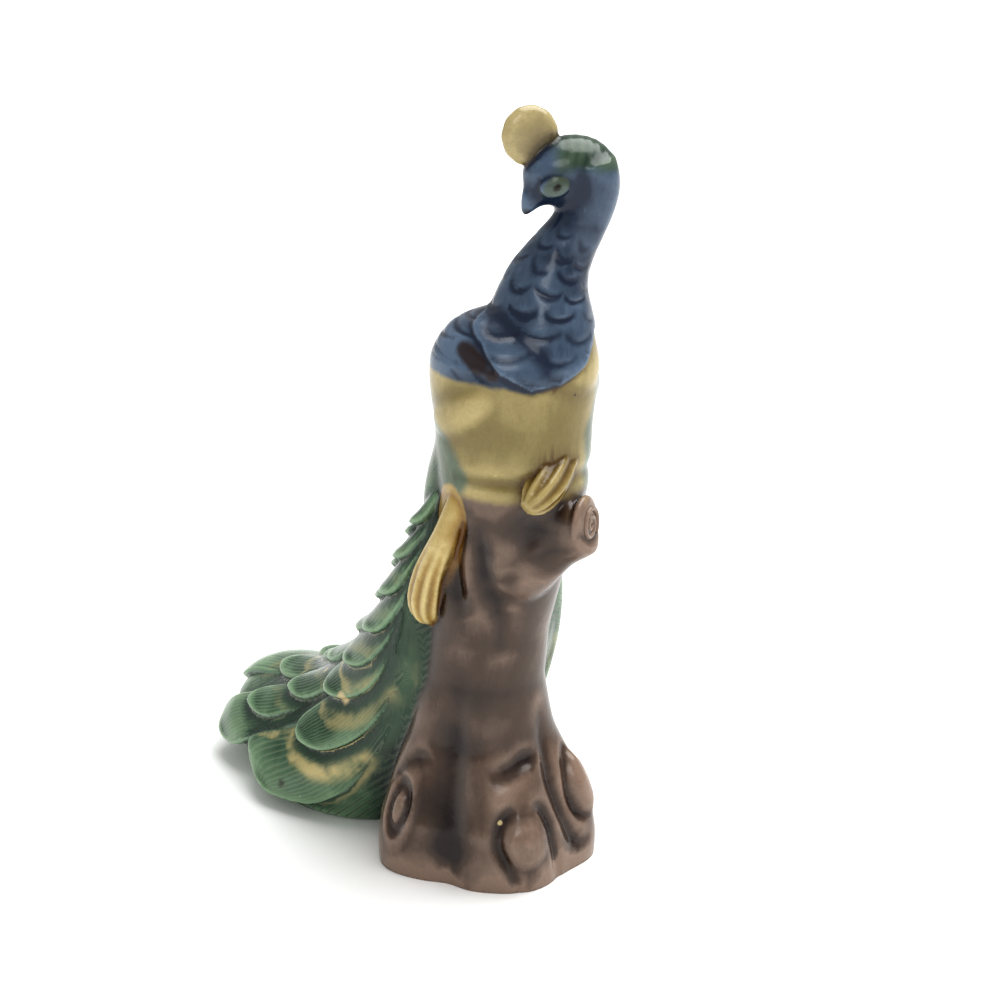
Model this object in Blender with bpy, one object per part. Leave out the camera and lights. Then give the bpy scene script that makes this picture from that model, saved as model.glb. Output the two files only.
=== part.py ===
"""Peacock figurine in cast, glazed pottery: a bird on a tree stump, with its train on the ground behind it.

Run it with blender --background --python part.py, or from Blender's text editor. Lengths are in metres.
The figurine stands on z = 0 with the stump's axis at the origin. The bird's breast looks along -Y and its
left side is +X. It is one casting, so every form below is a closed skin, and all are fused into one solid.
"""

import math

import bmesh
import bpy
import numpy as np

# Stump
STUMP_HEIGHT = 0.0780
FOOT_RADIUS = 0.0212
WAIST_RADIUS = 0.0121
STUMP_LEAN = 0.0075
ROOT_LOBE = 0.0040
GROOVE_DEPTH = 0.0016
GROOVE_WIDTH = 0.0016
KNOT_RELIEF = 0.0010
STUB_LENGTH = 0.0180
STUB_RADIUS = 0.0050
SPIRAL_WIRE = 0.00050
# Bird
BODY_HEIGHT = 0.0400
BODY_RADIUS = 0.0146
SHOULDER_RADIUS = 0.0076
BELLY_CREASE = 0.0006
NECK_RISE = 0.0360
NECK_RADIUS = 0.0050
HEAD_LENGTH = 0.0170
CREST_RADIUS = 0.0053
CREST_THICKNESS = 0.0034
EYE_RADIUS = 0.0022
LEG_RADIUS = 0.0033
FOOT_LENGTH = 0.0135
TOE_RIDGE = 0.10
# Train
TRAIN_REACH = 0.0900
TRAIN_TOP = 0.0840
TRAIN_HALF_WIDTH = 0.0262
FEATHER_THICKNESS = 0.0013
FEATHER_LIFT = 0.0016
HEM_THICKNESS = 0.0032
TIP_ROUNDING = 0.95
# Skin of the casting
BODY_VOXEL = 0.0008
CARVING_VOXEL = 0.0006
TRIANGLES = 9400

NAME = "peacock_figurine"
UP = np.array([0.0, 0.0, 1.0])
BODY_AXIS = np.array([0.07, -0.57, 0.0]) * BODY_RADIUS
PERCH = STUMP_HEIGHT * UP


def row_at(rows, place):
    """Reads a table as a smooth curve through its rows, where place runs from 0 to 1."""
    rows = np.array(rows, float)
    padded = np.vstack([2 * rows[0] - rows[1], rows, 2 * rows[-1] - rows[-2]])
    at = np.atleast_1d(place) * (len(rows) - 1)
    first = np.clip(np.floor(at).astype(int), 0, len(rows) - 2)
    t = (at - first)[:, None]
    a, b, c, d = (padded[first + k] for k in range(4))
    return 0.5 * (2 * b + (c - a) * t + (2 * a - 5 * b + 4 * c - d) * t**2 + (3 * b - a - 3 * c + d) * t**3)


def unit(vector):
    return vector / np.linalg.norm(vector, axis=-1, keepdims=True)


def turn(count):
    """Angles evenly round a full turn, as a column."""
    return np.linspace(0, 2 * math.pi, count, endpoint=False)[:, None]


def add_skin(casting, rings):
    """Adds a closed skin over a stack of rings to the casting, with a flat cap at both ends."""
    loops = [[casting.verts.new(point) for point in ring] for ring in rings]
    faces = []
    for low, high in zip(loops, loops[1:]):
        for i in range(len(low)):
            j = (i + 1) % len(low)
            faces.append(casting.faces.new((low[i], low[j], high[j], high[i])))
    faces.append(casting.faces.new(loops[0][::-1]))
    faces.append(casting.faces.new(loops[-1]))
    bmesh.ops.recalc_face_normals(casting, faces=faces)


def tube(path, wide, high, side, ridges=0, ridge=0.0, count=28):
    """Rings across a path, each wide along the side direction and high across it, plain or ridged."""
    ahead = unit(np.gradient(path, axis=0))
    across = unit(side - (ahead @ side)[:, None] * ahead)
    over = np.cross(ahead, across)
    a = turn(count)
    rings = []
    for centre, w, h, x, z, depth in zip(path, wide, high, across, over, ridge + np.zeros(len(path))):
        swell = 1 + depth * np.cos(ridges * a)
        rings.append(centre + swell * (w * np.sin(a) * x + h * np.cos(a) * z))
    return rings


def ball(centre, long_axis, side, sizes, count=20):
    """Rings of an ellipsoid. sizes are its half lengths along long_axis, along side and across both."""
    along = unit(long_axis)
    across = unit(side - (side @ along) * along)
    over = np.cross(along, across)
    a = turn(count + 8)
    rings = []
    for tilt in np.linspace(-0.97, 0.97, count) * math.pi / 2:
        reach = math.cos(tilt)
        middle = centre + along * sizes[0] * math.sin(tilt)
        rings.append(middle + reach * (sizes[1] * np.sin(a) * across + sizes[2] * np.cos(a) * over))
    return rings


# Stump: rows of height, distance from the axis and lean, as shares of their dimensions.
STUMP_ROWS = (
    (-0.06, 0.98, 0.00),
    (0.00, 1.02, 0.00),
    (0.06, 1.03, 0.00),
    (0.14, 0.99, 0.00),
    (0.24, 0.85, 0.00),
    (0.36, 0.66, 0.02),
    (0.50, 0.57, 0.08),
    (0.64, 0.57, 0.25),
    (0.78, 0.60, 0.60),
    (0.90, 0.64, 0.90),
    (1.04, 0.62, 1.05),
)
# Roots: heading in degrees, swell and top, as shares.
ROOTS = (
    (166, 0.65, 0.34),
    (-154, -0.28, 0.30),
    (-100, 0.50, 0.20),
    (-48, 0.85, 0.22),
    (18, 0.60, 0.16),
    (100, 0.50, 0.15),
)
# Grooves in the bark: width, depth, then points as heading in degrees and height, as shares but for headings.
GROOVES = (
    (2.10, 1.10, ((-153, 0.62), (-155, 0.40), (-152, 0.24), (-150, 0.10), (-151, -0.10))),
    (0.75, 0.80, ((-107, 0.215), (-113, 0.205), (-118, 0.17), (-119, 0.13), (-114, 0.07), (-105, -0.03))),
    (0.75, 0.65, ((-98, 0.215), (-91, 0.205), (-87, 0.17), (-85, 0.12), (-83, 0.05), (-80, -0.03))),
    (1.00, 0.85, ((-68, 0.46), (-75, 0.28), (-74, 0.20), (-71, 0.13), (-65, 0.07), (-54, 0.06))),
    (0.75, 0.85, ((-49, 0.32), (-58, 0.27), (-63, 0.20), (-61, 0.145), (-53, 0.125))),
    (1.15, 0.65, ((-124, 0.285), (-107, 0.31), (-93, 0.325), (-84, 0.305))),
    (1.20, 0.55, ((-172, 0.33), (-188, 0.29), (-194, 0.22))),
    (1.90, 1.10, ((-130, 1.03), (-111, 0.99), (-100, 0.92), (-93, 0.83))),
    (1.30, 0.95, ((-152, 1.00), (-150, 0.92), (-143, 0.84), (-131, 0.77), (-121, 0.71), (-113, 0.60))),
    (1.40, 1.00, ((-168, 1.02), (-172, 0.94), (-172, 0.86), (-166, 0.78), (-153, 0.71))),
    (1.40, 0.45, ((-126, 0.86), (-114, 0.74))),
    (1.30, 0.70, ((60, -0.05), (64, 0.25), (66, 0.52))),
    (1.30, 0.70, ((-22, -0.02), (-14, 0.30), (-18, 0.72))),
    (1.20, 0.60, ((28, 0.42), (34, 0.70), (36, 1.00))),
)
# Knots: heading in degrees, height, half width and half height as shares of the foot's radius, and profile.
BUTTON = ((0.0, 0.35), (0.65, 0.25), (1.05, -0.60), (1.40, -0.55), (1.95, 0.40), (2.8, 0.0))
SWELLING = ((0.0, 1.0), (0.6, 0.75), (1.0, 0.1), (1.3, 0.0))
KNOTS = (
    (175, 0.18, 0.075, 0.170, BUTTON, 1.0),
    (-103, 0.13, 0.240, 0.260, SWELLING, 1.1),
    (-52, 0.215, 0.180, 0.340, SWELLING, 1.9),
    (60, 0.20, 0.110, 0.180, BUTTON, 0.9),
)


def stump_axis(height):
    """Where the stump's axis is at a height, given as a share of the stump's."""
    lean = np.interp(height, [row[0] for row in STUMP_ROWS], [row[2] for row in STUMP_ROWS])
    lean = np.stack([0.05 * lean, -lean, 0 * lean], -1) * STUMP_LEAN
    return lean + np.multiply.outer(height * STUMP_HEIGHT, UP)


def stump_radius(height, angle):
    """Distance of the bark from the stump's axis, with the roots' swell at the foot."""
    flare = np.interp(height, [row[0] for row in STUMP_ROWS], [row[1] for row in STUMP_ROWS])
    waist = WAIST_RADIUS / FOOT_RADIUS / 0.57
    taper = np.clip((height - 0.10) / 0.30, 0, 1)
    radius = FOOT_RADIUS * flare * (1 + (waist - 1) * taper)
    radius = radius - 0.42 * ROOT_LOBE * math.exp(-((height / 0.3) ** 4))
    for heading, share, top in ROOTS:
        away = (angle - math.radians(heading) + math.pi) % (2 * math.pi) - math.pi
        swell = np.exp(-((away / 0.34) ** 2)) * math.exp(-((height / (top + 0.10)) ** 4))
        radius = radius + ROOT_LOBE * share * swell
    return radius


def stump_rings():
    a = turn(72)
    rings = []
    for height in np.linspace(STUMP_ROWS[0][0], STUMP_ROWS[-1][0], 44):
        out = stump_radius(height, a) * np.hstack([np.cos(a), np.sin(a), 0 * a])
        rings.append(stump_axis(height) + out)
    return rings


def on_bark(heading, height, out=0.0):
    """A point this far out from the bark, at a heading in degrees and a share of the stump's height."""
    angle = np.array([math.radians(heading)])
    away = np.array([math.cos(angle[0]), math.sin(angle[0]), 0.0])
    return stump_axis(height) + away * (float(stump_radius(height, angle)[0]) + out)


def bark_relief(points):
    """How far the bark stands out at each point, from the grooves and knots."""
    height = points[:, 2] / STUMP_HEIGHT
    from_axis = (points - stump_axis(height))[:, :2]
    reach = np.linalg.norm(from_axis, axis=1)
    angle = np.arctan2(from_axis[:, 1], from_axis[:, 0])
    relief = np.zeros(len(points))
    for width, depth, line in GROOVES:
        bends = row_at(line, np.linspace(0, 1, 3 * len(line)))
        best = np.full(len(points), np.inf)
        place = np.zeros(len(points))
        for number, ((a0, h0), (a1, h1)) in enumerate(zip(bends, bends[1:])):
            start = (angle - math.radians(a0) + math.pi) % (2 * math.pi) - math.pi
            x, y = start * reach, points[:, 2] - h0 * STUMP_HEIGHT
            dx, dy = math.radians(a1 - a0) * reach, (h1 - h0) * STUMP_HEIGHT
            along = np.clip((x * dx + y * dy) / (dx * dx + dy * dy), 0, 1)
            away = np.hypot(x - along * dx, y - along * dy)
            place = np.where(away < best, (number + along) / (len(bends) - 1), place)
            best = np.minimum(best, away)
        fade = np.clip(np.minimum(place, 1 - place) / 0.25, 0, 1)
        relief -= GROOVE_DEPTH * depth * fade * np.exp(-((best / (GROOVE_WIDTH * width)) ** 2))
    for heading, middle, wide, tall, profile, share in KNOTS:
        away = (angle - math.radians(heading) + math.pi) % (2 * math.pi) - math.pi
        x = away * reach / (wide * FOOT_RADIUS)
        y = (points[:, 2] - middle * STUMP_HEIGHT) / (tall * FOOT_RADIUS)
        at, rise = zip(*profile)
        relief += KNOT_RELIEF * share * np.interp(np.hypot(x, y), at, rise)
    near = (reach < 1.6 * FOOT_RADIUS) * (points[:, 1] < 0.6 * FOOT_RADIUS)
    return relief * near * np.clip((1.04 - height) / 0.08, 0, 1)


# Broken branch under the left foot
STUB_FACING = unit(np.array([0.42, -0.905, 0.0]))
STUB_SIDE = np.cross(UP, STUB_FACING)


def stub_end():
    return PERCH * 0.972 + BODY_AXIS + np.array([0.28, -1.15, 0.0]) * BODY_RADIUS


def stub_rings():
    """The stub swells under its end and runs down into the trunk like a bracket."""
    end = stub_end()
    shares = np.linspace(0, 1, 14)[:, None]
    drop = UP * STUB_RADIUS * row_at(((1.9,), (1.3,), (0.55,), (0.0,)), shares[:, 0])
    path = end - STUB_FACING * STUB_LENGTH * (1 - shares) - drop
    sizes = ((1.9,), (1.8,), (1.6,), (1.35,), (1.2,), (1.12,), (1.02,))
    radius = row_at(sizes, shares[:, 0])[:, 0] * STUB_RADIUS
    return tube(path, radius * 0.95, radius * 1.12, np.cross(STUB_FACING, UP))


def stub_face_rings():
    """The sawn end of the stub, flat enough for the spiral."""
    centre = stub_end() - 0.10 * STUB_RADIUS * STUB_FACING
    return ball(centre, STUB_FACING, UP, np.array([0.32, 1.10, 0.98]) * STUB_RADIUS)


def spiral_rings():
    """A raised line winding out from the middle of the stub's end."""
    t = np.linspace(0.10, 1, 34)[:, None]
    angle = t * 2.1 * 2 * math.pi
    reach = 0.66 * STUB_RADIUS * t
    middle = stub_end() + (0.20 * STUB_RADIUS - 0.3 * SPIRAL_WIRE) * STUB_FACING
    path = middle + reach * (0.92 * np.sin(angle) * STUB_SIDE + 1.1 * np.cos(angle) * UP)
    size = np.full(len(t), SPIRAL_WIRE)
    return tube(path, size, size, STUB_FACING, count=5)


# Body: rows of height, half width, reach to the front and reach to the back, as shares.
BODY_ROWS = (
    (-0.30, 0.66, 0.70, 0.62),
    (-0.12, 0.84, 0.88, 0.80),
    (0.05, 0.96, 1.00, 0.92),
    (0.22, 1.00, 1.04, 0.98),
    (0.38, 1.02, 1.05, 1.00),
    (0.50, 1.08, 1.06, 1.00),
    (0.62, 1.12, 1.06, 0.98),
    (0.74, 1.09, 0.98, 0.90),
    (0.86, 0.84, 0.70, 0.66),
    (0.92, 0.42, 0.30, 0.30),
)
# Wing: rows of place out from the body's axis, back and up from the perch, and thickness, in body radii.
WING_ROWS = (
    (0.50, -0.30, 1.44, 0.16),
    (0.60, -0.22, 1.42, 0.40),
    (0.64, -0.04, 1.36, 0.48),
    (0.60, 0.16, 1.34, 0.46),
    (0.56, 0.34, 1.02, 0.42),
    (0.54, 0.52, 0.62, 0.38),
    (0.54, 0.74, 0.20, 0.34),
    (0.54, 0.90, -0.22, 0.28),
    (0.52, 0.98, -0.48, 0.14),
)


def body_rings():
    a = turn(48)
    rings = []
    for height, wide, front, back in row_at(BODY_ROWS, np.linspace(0, 1, 34)):
        depth = np.where(np.cos(a) > 0, front, back)
        out = BODY_RADIUS * np.hstack([wide * np.sin(a), -depth * np.cos(a), 0 * a])
        rings.append(BODY_AXIS + PERCH + UP * height * BODY_HEIGHT + out)
    return rings


def shoulder_rings(hand):
    centre = BODY_AXIS + PERCH + np.array([0.66 * hand, -0.12, 1.36]) * BODY_RADIUS
    axis = np.array([0.10 * hand, 0.80, -0.60])
    return ball(centre, axis, np.array([hand, 0, 0.2]), np.array([1.40, 0.92, 0.90]) * SHOULDER_RADIUS)


def wing_rings(hand):
    rows = row_at(WING_ROWS, np.linspace(0, 1, 26))
    path = rows[:, :3] * BODY_RADIUS * np.array([hand, 1, 1]) + PERCH + BODY_AXIS
    size = rows[:, 3] * BODY_RADIUS
    return tube(path, size * 0.75, size * 1.15, np.array([0.7 * hand, 0.7, 0.0]))


def belly_relief(points):
    """A crease across the belly, just above the perch."""
    level = (points[:, 2] - STUMP_HEIGHT) / BODY_HEIGHT
    front = np.clip((BODY_AXIS[1] - points[:, 1]) / (0.6 * BODY_RADIUS), 0, 1)
    return -BELLY_CREASE * front * np.exp(-(((level - 0.165) / 0.035) ** 2))


# Neck: rows of place to the left, back and up from the shoulders, in shares of its rise, and thickness.
NECK_ROWS = (
    (0.075, -0.345, -0.045, 2.18),
    (0.080, -0.365, 0.03, 2.30),
    (0.085, -0.375, 0.16, 2.06),
    (0.095, -0.385, 0.31, 1.76),
    (0.115, -0.400, 0.44, 1.50),
    (0.165, -0.435, 0.57, 1.20),
    (0.225, -0.488, 0.70, 1.00),
    (0.265, -0.520, 0.82, 1.00),
    (0.280, -0.532, 0.93, 1.05),
    (0.255, -0.520, 1.03, 1.06),
)


def neck_place(rows):
    """Points of the neck's own table, where the figurine stands."""
    return rows[:, :3] * NECK_RISE + PERCH + UP * 0.65 * BODY_HEIGHT


def neck_rings():
    rows = row_at(NECK_ROWS, np.linspace(0, 1, 40))
    size = rows[:, 3] * NECK_RADIUS
    return tube(neck_place(rows), size * 1.02, size, np.array([0.79, -0.62, 0.0]))


# Head: it looks over the right wing. Places on it are ahead, up and out to the left cheek, in head lengths.
LOOKING = unit(np.array([-0.947, 0.32, 0.0]))
CHEEK = np.cross(LOOKING, UP)
# Beak: rows of ahead, up and thickness.
BEAK_ROWS = (
    (0.24, -0.08, 0.245),
    (0.36, -0.20, 0.190),
    (0.435, -0.285, 0.128),
    (0.49, -0.38, 0.080),
    (0.535, -0.465, 0.024),
)


def head_place(ahead, up, out=0.0):
    centre = neck_place(np.array([[0.200, -0.468, 0.990, 0]]))[0]
    return centre + HEAD_LENGTH * (ahead * LOOKING + up * UP - out * CHEEK)


def skull_rings():
    aim = unit(LOOKING - 0.12 * UP)
    return ball(head_place(0.02, 0.0), aim, CHEEK, np.array([0.51, 0.335, 0.375]) * HEAD_LENGTH)


def beak_rings():
    rows = row_at(BEAK_ROWS, np.linspace(0, 1, 20))
    path = np.array([head_place(ahead, up) for ahead, up, _ in rows])
    return tube(path, rows[:, 2] * HEAD_LENGTH * 0.85, rows[:, 2] * HEAD_LENGTH, CHEEK, count=20)


def eye_rings(hand):
    """A soft almond of clay, with the ball of the eye standing in it."""
    facing = unit(-hand * CHEEK + 0.25 * LOOKING)
    centre = head_place(0.27, -0.13, hand * 0.255)
    lid = ball(centre, facing, unit(LOOKING - 0.2 * UP), np.array([0.45, 1.25, 0.85]) * EYE_RADIUS, 12)
    pupil = ball(centre, facing, LOOKING, np.array([0.66, 0.42, 0.42]) * EYE_RADIUS, 10)
    return [lid, pupil]


CREST_SCALLOPS = 11
# Crest: rows of distance from its middle and of distance through it, over its half thickness.
CREST_ROWS = (
    (0.25, -0.80),
    (0.70, -0.86),
    (0.90, -0.62),
    (1.00, 0.00),
    (0.90, 0.62),
    (0.70, 0.86),
    (0.25, 0.80),
)


def crest_rings():
    """A fan of short feathers set on the forehead: a thick disc with a scalloped rim."""
    centre = head_place(0.455, 0.375)
    a = turn(66)
    fan = 1 + 0.030 * np.cos(CREST_SCALLOPS * a)
    around = np.cos(a) * LOOKING + np.sin(a) * UP
    half = 0.5 * CREST_THICKNESS
    return [centre + CREST_RADIUS * reach * fan * around + half * out * CHEEK for reach, out in CREST_ROWS]


# Right leg: rows of heading in degrees, height on the stump, distance out of the bark and thickness.
LEG_ROWS = (
    (184, 1.16, -1.60, 0.70),
    (182, 1.04, -0.80, 0.85),
    (176, 0.93, -0.05, 0.82),
    (168, 0.83, 0.45, 0.95),
    (164, 0.75, 0.56, 1.06),
    (164, 0.70, 0.40, 0.85),
    (165, 0.665, 0.00, 0.15),
)


def leg_rings():
    """The right leg hangs down the stump's side, and its toes end in a drop shape."""
    rows = row_at(LEG_ROWS, np.linspace(0, 1, 24))
    path = np.array([on_bark(heading, height, out * LEG_RADIUS) for heading, height, out, _ in rows])
    size = rows[:, 3] * LEG_RADIUS
    ridge = TOE_RIDGE * np.clip((0.93 - rows[:, 1]) / 0.12, 0, 1)
    return tube(path, size, size * 0.95, np.array([0.26, 0.97, 0.0]), 9, ridge, 54)


# Left foot: rows of place from the stub's end, across it and up, in foot lengths, and thickness.
FOOT_ROWS = (
    (0.84, 0.10, 0.06, 0.10),
    (0.70, 0.04, 0.14, 0.21),
    (0.44, 0.00, 0.28, 0.260),
    (0.14, 0.00, 0.46, 0.260),
    (-0.10, 0.03, 0.61, 0.235),
    (-0.18, 0.08, 0.67, 0.15),
)


def foot_rings():
    """The left foot lies slanting over the top of the stub."""
    rows = row_at(FOOT_ROWS, np.linspace(0, 1, 20))
    base = stub_end() + (0.33 * UP - 0.41 * STUB_FACING - 0.01 * STUB_SIDE) * FOOT_LENGTH
    steps = rows[:, :1] * -STUB_SIDE - rows[:, 1:2] * STUB_FACING + rows[:, 2:3] * UP
    size = rows[:, 3] * FOOT_LENGTH
    return tube(base + steps * FOOT_LENGTH, size, size, STUB_FACING, 8, TOE_RIDGE, 48)


# Train: rows of the ridge's reach and height, the edge's half width, reach and height, and depth behind it.
TRAIN_ROWS = (
    (0.056, 0.940, 0.420, -0.067, 1.000, 0.08),
    (0.117, 0.821, 0.520, -0.055, 0.857, 0.06),
    (0.183, 0.708, 0.630, -0.042, 0.738, 0.06),
    (0.261, 0.590, 0.700, -0.022, 0.619, 0.08),
    (0.350, 0.484, 0.742, 0.022, 0.500, 0.12),
    (0.456, 0.375, 0.770, 0.100, 0.376, 0.17),
    (0.595, 0.275, 0.820, 0.211, 0.255, 0.20),
    (0.755, 0.212, 0.900, 0.340, 0.143, 0.24),
    (0.910, 0.160, 0.950, 0.455, 0.062, 0.27),
    (0.985, 0.078, 0.960, 0.500, 0.012, 0.27),
)
# On the right it is narrower and its edge lies further back, so that the stump shows beside it: rows of the
# share of the half width that is kept and the edge's extra reach.
RIGHT_EDGE_ROWS = (
    (0.94, 0.03),
    (0.91, 0.06),
    (0.86, 0.09),
    (0.81, 0.11),
    (0.79, 0.11),
    (0.81, 0.09),
    (0.88, 0.05),
    (0.96, 0.02),
    (1.00, 0.00),
    (1.00, 0.00),
)


def train_point(place, swing):
    """A point of the train's outer surface. place runs from 0 at the rump to 1 at the hem, and swing is -1 at
    the right edge, 0 on the ridge and 1 at the left edge. Beyond 1 it turns in behind the edge.
    """
    rows = row_at(TRAIN_ROWS, place)
    zero = np.zeros(len(rows))
    angle = np.atleast_1d(swing) * math.pi / 2
    rightness = np.clip(-np.sin(angle), 0, 1)
    kept, extra = row_at(RIGHT_EDGE_ROWS, place).T
    ridge = np.stack([zero, rows[:, 0] * TRAIN_REACH, rows[:, 1] * TRAIN_TOP], 1)
    edge = (rows[:, 3] + extra * rightness) * TRAIN_REACH
    middle = np.stack([zero, edge, rows[:, 4] * TRAIN_TOP], 1)
    back = ridge - middle
    behind = unit(back) * rows[:, 5:] * TRAIN_REACH
    lean = np.cos(angle)[:, None]
    point = middle + np.where(lean > 0, back, behind) * lean
    point[:, 0] += rows[:, 2] * TRAIN_HALF_WIDTH * np.sin(angle) * (1 + (kept - 1) * rightness)
    return point


def train_rings():
    """The train's own volume, closed under its hem and drawn in towards the ground."""
    swing = np.linspace(-2, 2, 64, endpoint=False)
    rings = [train_point(np.full(64, place), swing) for place in np.linspace(0, 0.92, 38)]
    hem = rings[-1]
    for inward, down in ((0.93, 0.015), (0.84, 0.060), (0.80, 0.140)):
        rings.append(hem.mean(axis=0) + (hem - hem.mean(axis=0)) * inward - UP * down * TRAIN_TOP)
    return rings


# Feathers: place of the tip, swing of the tip and of the root, half width over the train's, and length.
FEATHERS = (
    (0.990, 0.00, 0.00, 0.330, 0.40),
    (0.985, 0.61, 0.54, 0.330, 0.40),
    (0.925, 1.00, 1.12, 0.400, 0.34),
    (0.780, 0.17, 0.13, 0.220, 0.28),
    (0.830, 0.54, 0.46, 0.230, 0.28),
    (0.735, 0.90, 1.06, 0.380, 0.30),
    (0.690, 0.00, 0.00, 0.200, 0.26),
    (0.710, 0.48, 0.42, 0.220, 0.26),
    (0.605, 0.72, 0.90, 0.290, 0.27),
    (0.600, 0.25, 0.20, 0.200, 0.25),
    (0.510, 0.66, 0.84, 0.240, 0.25),
    (0.500, 0.00, 0.00, 0.180, 0.24),
    (0.450, 0.36, 0.32, 0.190, 0.24),
    (0.400, 0.70, 0.88, 0.190, 0.24),
    (0.370, 0.14, 0.12, 0.150, 0.22),
    (0.325, 0.46, 0.42, 0.150, 0.22),
    (0.290, 0.74, 0.92, 0.150, 0.21),
    (0.265, 0.00, 0.00, 0.140, 0.20),
    (0.240, 0.40, 0.38, 0.140, 0.20),
    (0.200, 0.70, 0.86, 0.135, 0.18),
    (0.165, 0.20, 0.20, 0.125, 0.16),
    (0.145, 0.52, 0.50, 0.125, 0.16),
    (0.110, 0.76, 0.88, 0.120, 0.14),
)
HEM_FEATHERS = 3


def feather_rings(tip, swing, root_swing, half_width, length, under):
    """A tongue-shaped feather laid along the train, rising off it towards its round tip."""
    towards_tip = 0.5 + 0.5 * np.sin(np.linspace(0, 1, 20) * math.pi / 2)
    shares = np.concatenate([np.linspace(0, 0.5, 8, endpoint=False), towards_tip])
    rings = []
    blunt = min(0.38, TIP_ROUNDING * half_width / (length * TRAIN_REACH))
    for share in shares:
        tip_part = max(0.0, share - 1 + blunt) / blunt
        outline = (0.60 + 0.40 * min(1, share / 0.6)) * math.sqrt(max(0.0, 1 - tip_part**2.2)) + 0.02
        place = tip - length * (1 - share)
        mid_swing = swing + (root_swing - swing) * (1 - share) ** 1.3
        step = 0.01
        around = train_point(np.full(2, place), mid_swing + np.array([-step, step]))
        metric = np.linalg.norm(around[1] - around[0]) / (2 * step)
        spread = np.sin(np.linspace(-math.pi / 2, math.pi / 2, 11))
        swings = mid_swing + spread * outline * half_width / metric
        here = train_point(np.full(11, place), swings)
        places = np.full(11, place)
        ahead = train_point(places + step, swings) - train_point(places - step, swings)
        across = train_point(places, swings + step) - train_point(places, swings - step)
        out = unit(np.cross(across, ahead))
        round_off = np.sqrt(np.clip(1 - spread**2, 0, 1))[:, None] ** 0.7
        lift = FEATHER_LIFT * share**2 - FEATHER_THICKNESS * (1 - share)
        top = here + out * (lift + FEATHER_THICKNESS * round_off * (0.7 + 0.3 * share))
        low = here + out * (lift - under * round_off)
        rings.append(np.vstack([top, low[-2:0:-1]]))
    return rings


def feather_skins():
    skins = []
    for number, (tip, swing, root_swing, share, length) in enumerate(FEATHERS):
        under = HEM_THICKNESS if number < HEM_FEATHERS else 0.9 * FEATHER_THICKNESS
        for hand in (-1, 1) if swing else (1,):
            wide = share * TRAIN_HALF_WIDTH
            skins.append(feather_rings(tip, hand * swing, hand * root_swing, wide, length, under))
    return skins


def large_forms():
    """The forms that run softly into each other."""
    forms = [stump_rings(), stub_rings(), body_rings(), neck_rings(), skull_rings(), beak_rings()]
    forms.append(train_rings())
    for hand in (-1, 1):
        forms += [shoulder_rings(hand), wing_rings(hand)]
    return forms


def small_forms():
    """What stands on them with sharper edges."""
    forms = [crest_rings(), leg_rings(), foot_rings(), stub_face_rings()]
    return forms + eye_rings(-1) + eye_rings(1) + feather_skins()


def mesh_of(skins, name, base=None):
    casting = bmesh.new()
    if base:
        casting.from_mesh(base)
    for rings in skins:
        add_skin(casting, rings)
    mesh = bpy.data.meshes.new(name)
    casting.to_mesh(mesh)
    casting.free()
    return mesh


def fuse(obj, voxel, rounds):
    """Gives an object one skin over all its forms, softened as glaze softens them."""
    skin = obj.modifiers.new("one skin", "REMESH")
    skin.mode = "VOXEL"
    skin.voxel_size = voxel
    soft = obj.modifiers.new("glaze softness", "SMOOTH")
    soft.factor = 0.5
    soft.iterations = rounds
    bpy.context.view_layer.update()
    return obj.evaluated_get(bpy.context.evaluated_depsgraph_get())


def carved_large_forms():
    """The large forms as one mesh, with the bark's and the belly's relief cut into it."""
    scene = bpy.context.scene.collection
    large = bpy.data.objects.new("large_forms", mesh_of(large_forms(), "large forms"))
    scene.objects.link(large)
    mesh = bpy.data.meshes.new_from_object(fuse(large, BODY_VOXEL, 8))
    bpy.data.objects.remove(large)
    points = np.empty(3 * len(mesh.vertices))
    mesh.vertices.foreach_get("co", points)
    points = points.reshape(-1, 3)
    normals = np.empty(3 * len(mesh.vertices))
    mesh.vertex_normals.foreach_get("vector", normals)
    relief = bark_relief(points) + belly_relief(points)
    points = points + normals.reshape(-1, 3) * relief[:, None]
    mesh.vertices.foreach_set("co", points.ravel())
    return mesh


def main():
    for old in list(bpy.data.objects):
        bpy.data.objects.remove(old)
    mesh = mesh_of(small_forms(), NAME, carved_large_forms())
    figurine = bpy.data.objects.new(NAME, mesh)
    bpy.context.scene.collection.objects.link(figurine)
    faces = len(fuse(figurine, CARVING_VOXEL, 2).data.polygons)
    fewer = figurine.modifiers.new("fewer faces", "DECIMATE")
    fewer.ratio = TRIANGLES / (2 * faces)

    bpy.ops.mesh.primitive_cube_add(size=1)
    table = bpy.context.active_object
    table.name = "table_cutter"
    table.scale = (4 * TRAIN_REACH, 4 * TRAIN_REACH, STUMP_HEIGHT)
    table.location = (0, 0, -STUMP_HEIGHT / 2)
    table.hide_render = True
    table.display_type = "WIRE"
    flat = figurine.modifiers.new("flat underside", "BOOLEAN")
    flat.operation = "DIFFERENCE"
    flat.solver = "EXACT"
    flat.object = table

    spiral = bpy.data.objects.new("spiral_line", mesh_of([spiral_rings()], "spiral line"))
    bpy.context.scene.collection.objects.link(spiral)
    spiral.hide_render = True
    spiral.display_type = "WIRE"
    raised = figurine.modifiers.new("spiral on the stub", "BOOLEAN")
    raised.operation = "UNION"
    raised.solver = "EXACT"
    raised.object = spiral

    glaze = bpy.data.materials.new("glazed pottery")
    glaze.use_nodes = True
    shader = glaze.node_tree.nodes["Principled BSDF"]
    shader.inputs["Base Color"].default_value = (0.16, 0.17, 0.14, 1)
    shader.inputs["Roughness"].default_value = 0.2
    mesh.materials.append(glaze)


main()
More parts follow.
